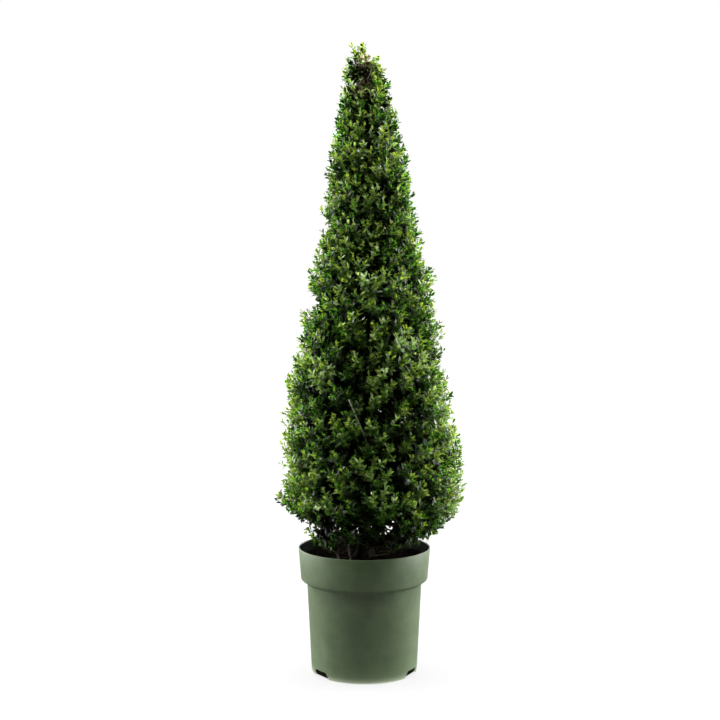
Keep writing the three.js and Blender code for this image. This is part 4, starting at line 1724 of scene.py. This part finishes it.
@dataclass
class FoliageMass:
    """One mass: a stem that goes on from its bough, twigs, leafy shoots and leaves."""

    crown: CrownFrame
    space: MassSpace
    bough: Bough
    trunk_tip: float
    # the deeper layers' low vigour ranges are painted shade inside the crown
    layers: tuple[ShootLayer, ...] = (
        ShootLayer(0.0152, (-0.002, 0.012), 0.06, (-0.08, 1.08), 12, OUTER_LEAF, WoodTint.GREEN),
        ShootLayer(0.0180, (0.018, 0.036), 0.0, (0.0, 0.35), 11, SHADED_LEAF, WoodTint.YOUNG),
        ShootLayer(0.0210, (0.040, 0.075), 0.0, (-0.2, 0.15), 11, INNER_LEAF, WoodTint.OLD),
        ShootLayer(0.0260, (0.075, 0.120), 0.0, (-0.2, 0.10), 11, INNER_LEAF, WoodTint.OLD),
    )
    habit: LeafHabit = LeafHabit()
    edge: float = -0.004  # between shoots and the edge of the mass's wedge
    soil_clear: float = 0.008
    width_samples: int = 9
    least_places: int = 4
    # The stem
    stem_radii: Range = (0.0032, 0.0020)
    stem_end_at: float = 0.62
    stem_short: float = 0.047  # from the stem's end to the clipped face
    stem_steps: int = 6
    # Its twigs
    knots: Range = (0.3, 0.9)  # shares along the stem where twigs leave it
    fork_around: float = 0.85
    fork_up: float = 0.88
    fork_reach: float = 0.60
    top_fork: float = 0.004  # on the topmost mass, over the knot
    twig_spacing: float = 0.036
    twig_depth: float = 0.040  # of a twig's end under the clipped face
    most_twig_depth: float = 0.45  # of the crown's radius
    twig_radii: Range = (0.0019, 0.0011)
    twig_steps: int = 8
    twig_sides: int = 4
    # Tufts of shoots
    tuft_dip: float = 0.013  # how far a tuft's edge falls behind its middle
    tuft_radius: float = 0.022
    tuft_sink: Range = (-0.004, 0.010)
    tuft_pull: float = 0.22  # how far shoots are drawn towards the middle of their tuft
    pull_spread: Range = (0.5, 1.5)
    tuft_share: float = 0.50  # of a shoot's vigour that its whole tuft has
    # Shoots
    shoots_from: Range = (0.66, 1.0)  # shares along a twig where shoots leave it
    shoot_bend: float = 0.40
    shoot_sag: float = 0.10
    shoot_radii: Range = (0.0008, 0.00035)
    shoot_steps: int = 5
    shoot_sides: int = 3
    sprig_steps: int = 7
    least_reach: float = 0.2  # of the crown's radius
    proud_inset: Range = (-0.004, 0.001)  # of shoots that stand out
    proud_gain: float = 0.25  # how much fresher those are
    most_overhang: float = 0.009
    # The crown's upper end and its hem
    crop: float = 1.226  # where the clipped shoots end; only sprigs go on
    thin_from: float = 1.196
    thin_share: float = 0.55
    hem_open: float = 0.50  # how much thinner the shoots stand at the hem
    hem_open_from: float = 0.345
    hem_open_to: float = 0.285
    hem_shade: float = 0.85  # how much duller shoots are there
    hem_depth: float = 0.085
    hem_fringe: float = 0.006  # how far leaves hang below it
    # Vigour, with painted light and shade
    light_gain: float = 0.40  # painted light: how much paler shoots are towards the top, where the overhead light falls
    light_middle: float = 0.30
    painted_side_shading: Range = (-0.22, 0.86)  # painted light and shade at the sides: how much duller they are there, low down and at the top; below nothing, paler
    tip_gain: float = 0.32  # painted light and shade: how much paler they are in the middle of their tuft, and darker towards the gaps between tufts
    tint_error: float = 0.05

    def build(self, leaf_finish: Sequence[bpy.types.Material], wood: Sequence[bpy.types.Material]) -> None:
        """Grows the mass and makes its leaf piece and its twig piece.

        Args:
            leaf_finish: The leaves' materials.
            wood: The twigs' materials.
        """
        node = f"foliage_{self.space.name}"
        leaves, twigs = JoinedMesh(), JoinedMesh()
        self.grow(leaves, twigs)
        seat(leaves.build(f"leaves_{self.space.name}", leaf_finish), Slot.FOLIAGE, node)
        seat(twigs.build(f"twigs_{self.space.name}", wood), Slot.BARK, node)

    def stem_ends(self) -> tuple[Points, Points]:
        """Where the stem starts and ends.

        Returns:
            Both points.
        """
        if self.space.whole:
            top = np.array(self.crown.top - self.stem_short * self.space.slim)
            return self.crown.leader_at(np.array(self.trunk_tip)), self.crown.leader_at(top)
        turn = np.array(self.space.turn)
        level = np.array(mix(self.space.low, self.space.high, self.stem_end_at))
        radius = self.crown.outer_radius(turn, level) - self.stem_short
        return self.bough.ends()[1], self.crown.point(turn, radius, level)

    def even_places(self, spacing: float, rng: np.random.Generator) -> tuple[Points, Points, Points]:
        """Places spread evenly over the mass's outer face by a plastic-number sequence.

        Args:
            spacing: Between neighbours.
            rng: Seeded numbers.

        Returns:
            Turns, levels, and how far up the tier each lies.
        """
        space = self.space
        levels = np.linspace(space.low, space.high, self.width_samples)
        widest = float(self.crown.outer_radius(np.full(len(levels), space.turn), levels).max())
        width, height = 2 * space.half * widest, space.high - space.low
        count = max(self.least_places, round(width * height / spacing**2))
        start = rng.uniform(size=2)
        index = np.arange(count)
        edges = self.edge / width, self.edge / height
        across = mix(edges[0], 1 - edges[0], (start[0] + index / PLASTIC) % 1)
        up = mix(edges[1], 1 - edges[1], (start[1] + index / PLASTIC**2) % 1)
        turn, level = space.turn + (2 * across - 1) * space.half, mix(space.low, space.high, up)
        kept = rng.uniform(size=count) < self.crown.outer_radius(turn, level) / widest
        return turn[kept], level[kept], up[kept]

    def grow(self, leaves: JoinedMesh, twigs: JoinedMesh) -> None:
        """Grows the stem, the twigs that fork off it, every layer of shoots, and the sprigs.

        Args:
            leaves: Takes the leaves.
            twigs: Takes the stem, twigs and shoots.
        """
        rng = np.random.default_rng(self.space.seed)
        stem = self.stem_ends()
        share = np.linspace(0, 1, self.stem_steps)
        path, radii = mix(*stem, share[:, None]), mix(*self.stem_radii, share) * self.space.slim
        add_tubes(twigs, path[None], radii[None], self.twig_sides, WoodTint.OLD)
        twig = self.twigs(stem, rng)
        share = np.tile(np.linspace(0, 1, self.twig_steps), (len(twig.turn), 1))
        path, radii = bezier(twig.knot, twig.fork, twig.end, share), mix(*self.twig_radii, share)
        add_tubes(twigs, path, radii * self.space.slim**0.5, self.twig_sides, WoodTint.OLD)
        for bare in BARE_TWIGS:
            if bare.mass == self.space.name:
                add_tubes(twigs, *bare.tube(), self.twig_sides, WoodTint.BARE)
        for layer in self.layers:
            self.grow_layer(layer, twig, leaves, twigs, rng)
        self.grow_sprigs(leaves, twigs, rng)

    def face_at(self, turn: Points, level: Points) -> tuple[Points, Points]:
        """Radii of the clipped face, and its points."""
        outer = self.crown.outer_radius(turn, level)
        return outer, self.crown.above_soil(self.crown.point(turn, outer, level), self.soil_clear)

    def twigs(self, stem: tuple[Points, Points], rng: np.random.Generator) -> TwigSet:
        """Grows twigs off the stem, each to its own place under the clipped face.

        Args:
            stem: Both ends of the stem.
            rng: Seeded numbers.

        Returns:
            The twigs.
        """
        turn, level, up = self.even_places(self.twig_spacing * math.sqrt(self.space.slim), rng)
        place = self.face_at(turn, level)[1]
        kept = (self.crown.over_hem(place) > 0) & (place[:, 2] < self.crop)
        turn, level, up = turn[kept], level[kept], up[kept]
        outer, aim = self.face_at(turn, level)
        knot = mix(*stem, mix(*self.knots, up)[:, None])
        fork = self.forks(turn, level, knot)
        depth = np.minimum(self.twig_depth, self.most_twig_depth * outer)
        end = aim - unit(aim - fork) * depth[:, None]
        vigour = rng.uniform(size=len(turn))
        sink = rng.uniform(*self.tuft_sink, len(turn))
        return TwigSet(turn, level, knot, fork, end, aim, vigour, sink)

    def forks(self, turn: Points, level: Points, knot: Points) -> Points:
        """Where twigs bend outwards inside the mass, so that they come out square to its face.

        Args:
            turn: Turns of their ends.
            level: Levels of their ends.
            knot: Where they leave the stem.

        Returns:
            The points.
        """
        if self.space.whole:
            return knot + UP * self.top_fork
        around = mix(self.space.turn, turn, self.fork_around)
        under = mix(self.space.low, level, self.fork_up)
        reach = self.crown.outer_radius(around, under) * self.fork_reach
        return self.crown.above_soil(self.crown.point(around, reach, under), self.soil_clear)

    def gathered(
        self, layer: ShootLayer, twig: TwigSet, rng: np.random.Generator
    ) -> tuple[Points, Points, Points]:
        """Places of a layer's shoots, drawn together round the middles of their tufts.

        Args:
            layer: Its spacing.
            twig: The twigs, one to a tuft.
            rng: Seeded numbers.

        Returns:
            Turns, levels, and the number of the twig nearest to each.
        """
        turn, level, _ = self.even_places(layer.spacing, rng)
        _, face = self.face_at(turn, level)
        height = face[:, 2]
        thin = self.thin_share * np.clip((height - self.thin_from) / (self.crop - self.thin_from), 0, 1)
        low = (height - self.hem_open_from) / (self.hem_open_to - self.hem_open_from)
        thin = thin + self.hem_open * np.clip(low, 0, 1)
        kept = (rng.uniform(size=len(turn)) > thin) & (height < self.crop) & (self.crown.over_hem(face) > 0)
        turn, level, face = turn[kept], level[kept], face[kept]
        near = np.argmin(np.linalg.norm(face[:, None] - twig.aim[None], axis=-1), axis=1)
        aside = (twig.turn[near] - turn + math.pi) % FULL_TURN - math.pi
        pull = self.tuft_pull * rng.uniform(*self.pull_spread, len(turn))
        return turn + pull * aside, mix(level, twig.level[near], pull), near

    def grow_layer(
        self,
        layer: ShootLayer,
        twig: TwigSet,
        leaves: JoinedMesh,
        twigs: JoinedMesh,
        rng: np.random.Generator,
    ) -> None:
        """Grows one layer of shoots, each off the nearest twig.

        Args:
            layer: Its spacing, depth and colours.
            twig: The twigs of the mass.
            leaves: Takes the leaves.
            twigs: Takes the shoots.
            rng: Seeded numbers.
        """
        turn, level, near = self.gathered(layer, twig, rng)
        outer, face = self.face_at(turn, level)
        count = len(turn)
        apart = np.linalg.norm(face - twig.aim[near], axis=1)
        off_middle = np.minimum(apart / self.tuft_radius, 1.0)
        dip = self.tuft_dip * off_middle**2
        inset = (rng.uniform(*layer.inset, count) + dip + twig.sink[near]) * self.space.slim
        proud = rng.uniform(size=count) < layer.stand_out
        inset = np.where(proud, rng.uniform(*self.proud_inset, count), inset)
        reach = np.maximum(outer - inset + trimmed(face), self.least_reach * outer)
        tip = self.crown.above_soil(self.crown.point(turn, reach, level), self.soil_clear)
        start, way = twig.at(near, mix(*self.shoots_from, rng.uniform(size=count)))
        length = np.linalg.norm(tip - start, axis=1)[:, None]
        bend = start + way * (self.shoot_bend * length) - UP * (self.shoot_sag * length)
        share = np.tile(np.linspace(0, 1, self.shoot_steps), (count, 1))
        path, radii = bezier(start, bend, tip, share), mix(*self.shoot_radii, share)
        add_tubes(twigs, path, radii, self.shoot_sides, layer.woody)
        vigour = mix(rng.uniform(size=count), twig.vigour[near], self.tuft_share)
        vigour = mix(*layer.vigour, vigour) + np.where(proud, self.proud_gain, 0.0)
        # paints light and shade into the shoots' colours by where they stand
        vigour = self.with_painted_light(vigour, turn, tip, off_middle)
        shoots = ShootSet(start, bend, tip, *self.tints(tip, vigour, rng))
        layer.form.add_to(leaves, self.set_leaves(shoots, layer.form, layer.leaves, rng))

    def with_painted_light(self, vigour: Points, turn: Points, tip: Points, off_middle: Points) -> Points:
        """Shoots' vigour with painted light and shade: paler towards the top and in the middle of tufts,
        duller at the hem, and at the sides duller high up and paler low down.

        Args:
            vigour: Their own vigour.
            turn: Their turns.
            tip: Their tips.
            off_middle: How far they stand off the middle of their tuft, from 0 to 1.

        Returns:
            Their vigour with that painted light and shade.
        """
        high = (tip[:, 2] / self.crown.top) ** 2
        vigour = vigour + self.light_gain * (high - self.light_middle)
        vigour = vigour - mix(*self.painted_side_shading, high) * np.cos(turn) ** 2
        vigour = vigour + self.tip_gain * (0.5 - off_middle)
        return vigour - self.hem_shade * np.clip(1 - self.crown.over_hem(tip) / self.hem_depth, 0, 1)

    def grow_sprigs(self, leaves: JoinedMesh, twigs: JoinedMesh, rng: np.random.Generator) -> None:
        """Grows the loose sprigs that stand out of the mass.

        Args:
            leaves: Takes their leaves.
            twigs: Takes their shoots.
            rng: Seeded numbers.
        """
        share = np.linspace(0, 1, self.sprig_steps)[None]
        for sprig in SPRIGS:
            if sprig.mass != self.space.name:
                continue
            start, tip = np.array([sprig.foot]), np.array([sprig.tip])
            bend = mix(start, tip, 0.5) + np.array(sprig.bow)
            path, radii = bezier(start, bend, tip, share), mix(*self.shoot_radii, share)
            add_tubes(twigs, path, radii, self.shoot_sides, WoodTint.GREEN)
            tints = np.array([int(sprig.young)]), np.array([int(sprig.old)])
            shoots = ShootSet(start, bend, tip, *tints)
            SPRIG_LEAF.add_to(leaves, self.set_leaves(shoots, SPRIG_LEAF, sprig.leaves, rng))

    def tints(self, tip: Points, vigour: Points, rng: np.random.Generator) -> tuple[Points, Points]:
        """Deals out a young and an old leaf colour to each spray by its vigour.

        Args:
            tip: The sprays' tips.
            vigour: Their vigour.
            rng: Seeded numbers.

        Returns:
            Their young and their old colours.
        """
        rank = np.searchsorted(TINT_STEPS, vigour + rng.normal(0, self.tint_error, len(vigour)))
        young, old = np.array(YOUNG_TINTS)[rank], np.array(OLD_TINTS)[rank]
        withered = WITHERED.holds(tip) & (rng.uniform(size=len(tip)) < WITHERED.share)
        pale = tip[:, 2] > WITHERED.pale_from
        young = np.where(withered, np.where(pale, int(LeafTint.DRY), int(LeafTint.BRONZE)), young)
        return young, np.where(withered, int(LeafTint.BRONZE), old)

    def set_leaves(self, shoots: ShootSet, form: LeafForm, most: int, rng: np.random.Generator) -> LeafSet:
        """Leaves on shoots, less those that leave the crown or hang below its hem."""
        leaves = self.habit.on_shoots(shoots, form, most, rng)
        return leaves.kept(self.clear(leaves))

    def clear(self, leaves: LeafSet) -> Points:
        """Looks which leaves keep inside the crown and over its hem.

        Args:
            leaves: The leaves.

        Returns:
            True for those that do.
        """
        tip = leaves.root + leaves.ahead * leaves.length[:, None]
        most = self.most_overhang + np.maximum(trimmed(tip), 0)
        over_top = tip[:, 2] > self.crop
        inside = over_top | (self.crown.overhang(tip) < most)
        return inside & (tip[:, 2] < self.crown.top) & (self.crown.over_hem(tip) > -self.hem_fringe)


# Studio


class WorldSheet:
    """The world's nodes, which turn a direction into a strength of light."""

    def __init__(self, tree: bpy.types.NodeTree) -> None:
        """Splits the direction into its parts: to the right, back and up.

        Args:
            tree: The world's node tree.
        """
        self.tree = tree
        way, split = tree.nodes.new("ShaderNodeTexCoord"), tree.nodes.new("ShaderNodeSeparateXYZ")
        tree.links.new(way.outputs["Generated"], split.inputs["Vector"])
        self.parts = split.outputs["X"], split.outputs["Y"], split.outputs["Z"]

    def reckon(self, operation: str, *values: Socket | float) -> Socket:
        """Adds one sum to the nodes.

        Args:
            operation: Its kind.
            values: What goes into it.

        Returns:
            Its result.
        """
        node = self.tree.nodes.new("ShaderNodeMath")
        node.operation = operation
        for socket, value in zip(node.inputs, values):
            if isinstance(value, float):
                socket.default_value = value
            else:
                self.tree.links.new(value, socket)
        return node.outputs["Value"]

    def weighed(self, weights: Place) -> Socket:
        """The sum of the direction's parts by their weights."""
        shares = [self.reckon("MULTIPLY", part, weight) for part, weight in zip(self.parts, weights)]
        return self.total(shares)

    def total(self, values: Sequence[Socket], start: float = 0.0) -> Socket:
        """The sum of several values.

        Args:
            values: The values.
            start: What they are added to.

        Returns:
            The sum.
        """
        found: Socket | float = start
        for value in values:
            found = self.reckon("ADD", value, found)
        return found

    def smooth(self, source: Socket, fade: Range, top: float) -> Socket:
        """A smooth step from nothing to a top value.

        Args:
            source: What it follows.
            fade: Where it starts and ends.
            top: The top value.

        Returns:
            The step's value.
        """
        node = self.tree.nodes.new("ShaderNodeMapRange")
        node.interpolation_type = "SMOOTHSTEP"
        for key, value in {"From Min": fade[0], "From Max": fade[1], "To Max": top}.items():
            node.inputs[key].default_value = value
        self.tree.links.new(source, node.inputs["Value"])
        return node.outputs["Result"]


@dataclass(frozen=True)
class SoftLight:
    """Soft light from a wide zone of the studio's walls, picked by a sum of the direction's parts."""

    strength: float
    right: float  # weight of the direction's part to the right
    back: float  # weight of its part away from the camera
    up: float  # weight of its upward part
    fade: Range  # sums where the zone starts and where it is full

    def add_to(self, sheet: WorldSheet) -> Socket:
        """Adds the zone's strength to the world's nodes."""
        total = sheet.weighed((self.right, self.back, self.up))
        return sheet.smooth(total, self.fade, self.strength)


@dataclass(frozen=True)
class Studio:
    """White sweep, soft light from both sides, and a camera at the photograph's angle."""

    camera_place: Place = (-0.0087, -3.0, 0.8783)
    camera_pitch: float = math.radians(4.70)
    lens: float = 75.265
    sensor: float = 36.0
    sight: float = 60.0
    front_light: float = 0.004
    floor_glow: float = 0.05
    floor_bounce: float = 2.20  # what its lit patch round the pot sends back
    bounce_reach: Range = (0.098, 0.126)
    floor_shine: float = 0.75  # what the camera sees of it
    floor_tones: Range = (0.070, 0.140)  # for the light on the object, and for the camera
    floor_half: float = 7.0
    floor_front: float = -0.55  # the sweep's front edge, just out of the picture
    lights: tuple[SoftLight, ...] = (
        SoftLight(strength=10.4, right=-1.0, back=0.45, up=0.0, fade=(0.74, 1.10)),
        SoftLight(strength=11.8, right=1.0, back=0.45, up=0.0, fade=(0.74, 1.10)),
        SoftLight(strength=1.04, right=0.0, back=1.0, up=0.0, fade=(-0.05, 0.60)),
        SoftLight(strength=8.0, right=0.0, back=0.0, up=1.0, fade=(0.70, 1.0)),
    )

    def build(self) -> None:
        """Sets up the camera, lights, floor and backdrop."""
        self.place_camera()
        self.lay_floor()
        self.light_world()
        bpy.context.scene.view_settings.view_transform = "Standard"

    def place_camera(self) -> None:
        """Makes the camera."""
        data = bpy.data.cameras.new("camera")
        data.lens, data.sensor_width = self.lens, self.sensor
        data.clip_end = self.sight
        camera = bpy.data.objects.new("camera", data)
        camera.location = self.camera_place
        camera.rotation_euler = (math.pi / 2 - self.camera_pitch, 0, 0)
        bpy.context.scene.collection.objects.link(camera)
        bpy.context.scene.camera = camera

    def lay_floor(self) -> None:
        """Lays the pale floor."""
        bm = bmesh.new()
        bmesh.ops.create_grid(bm, x_segments=2, y_segments=2, size=self.floor_half)
        for vert in bm.verts:
            vert.co.y = max(vert.co.y, self.floor_front)
        bmesh.ops.remove_doubles(bm, verts=bm.verts, dist=SAME)
        link(mesh_of(bm, "floor"), [self.floor_finish()])

    def floor_finish(self) -> bpy.types.Material:
        """Makes the floor's finish, which glows as a lit white sweep does.

        Returns:
            The material.
        """
        sheet = NodeSheet("pale_floor")
        sheet.gloss(roughness=1.0, specular=0.0)
        sheet.give({"Emission Color": WHITE})
        seen = sheet.add("ShaderNodeLightPath").outputs["Is Camera Ray"]
        away = sheet.add("ShaderNodeVectorMath", operation="LENGTH")
        sheet.join(sheet.place(), away.inputs["Vector"])
        bounce = sheet.fade(away.outputs["Value"], self.bounce_reach, (self.floor_bounce, self.floor_glow))
        glow = sheet.add("ShaderNodeMix", {MixInput.HIGH_VALUE: self.floor_shine})
        sheet.join(seen, glow.inputs[MixInput.FACTOR])
        sheet.join(bounce, glow.inputs[MixInput.LOW_VALUE])
        sheet.drive("Emission Strength", glow.outputs[MixOutput.VALUE])
        sheet.drive("Base Color", sheet.fade(seen, (0.0, 1.0), self.floor_tones))
        return sheet.material

    def light_world(self) -> None:
        """Shows a white backdrop, and lights the object less than it shows."""
        world = bpy.data.worlds.new("white_studio")
        bpy.context.scene.world = world
        world.use_nodes = True
        nodes, links = world.node_tree.nodes, world.node_tree.links
        seen, lit = nodes["Background"], nodes.new("ShaderNodeBackground")
        seen.inputs["Color"].default_value = WHITE
        sheet = WorldSheet(world.node_tree)
        strength = sheet.total([light.add_to(sheet) for light in self.lights], self.front_light)
        links.new(strength, lit.inputs["Strength"])
        path, both = nodes.new("ShaderNodeLightPath"), nodes.new("ShaderNodeMixShader")
        links.new(path.outputs["Is Camera Ray"], both.inputs["Fac"])
        for shader, socket in zip((lit, seen), list(both.inputs)[1:]):
            links.new(shader.outputs["Background"], socket)
        links.new(both.outputs["Shader"], nodes["World Output"].inputs["Surface"])


def main() -> None:
    """Builds the studio and every piece of the plant in order."""
    logging.basicConfig(level=logging.INFO, format="%(message)s")
    Studio().build()
    pot = NurseryPot()
    pot.build()
    SoilFill(pot).build()
    crown = CrownFrame()
    bark = Bark().material()
    trunk = Trunk(crown)
    trunk.build(bark)
    young_bark = YOUNG_BARK.material()
    for shoot in BASAL_SHOOTS:
        shoot.build(young_bark)
    leaf_finish = [LEAF_FINISHES[tint].material() for tint in LeafTint]
    wood = [WOOD_FINISHES[tint].material() for tint in WoodTint]
    for space in CrownPlan().spaces(crown):
        bough = Bough(crown, space)
        if not space.whole:
            bough.build(bark)
        FoliageMass(crown, space, bough, trunk.tip_height).build(leaf_finish, wood)


if __name__ == "__main__":
    main()
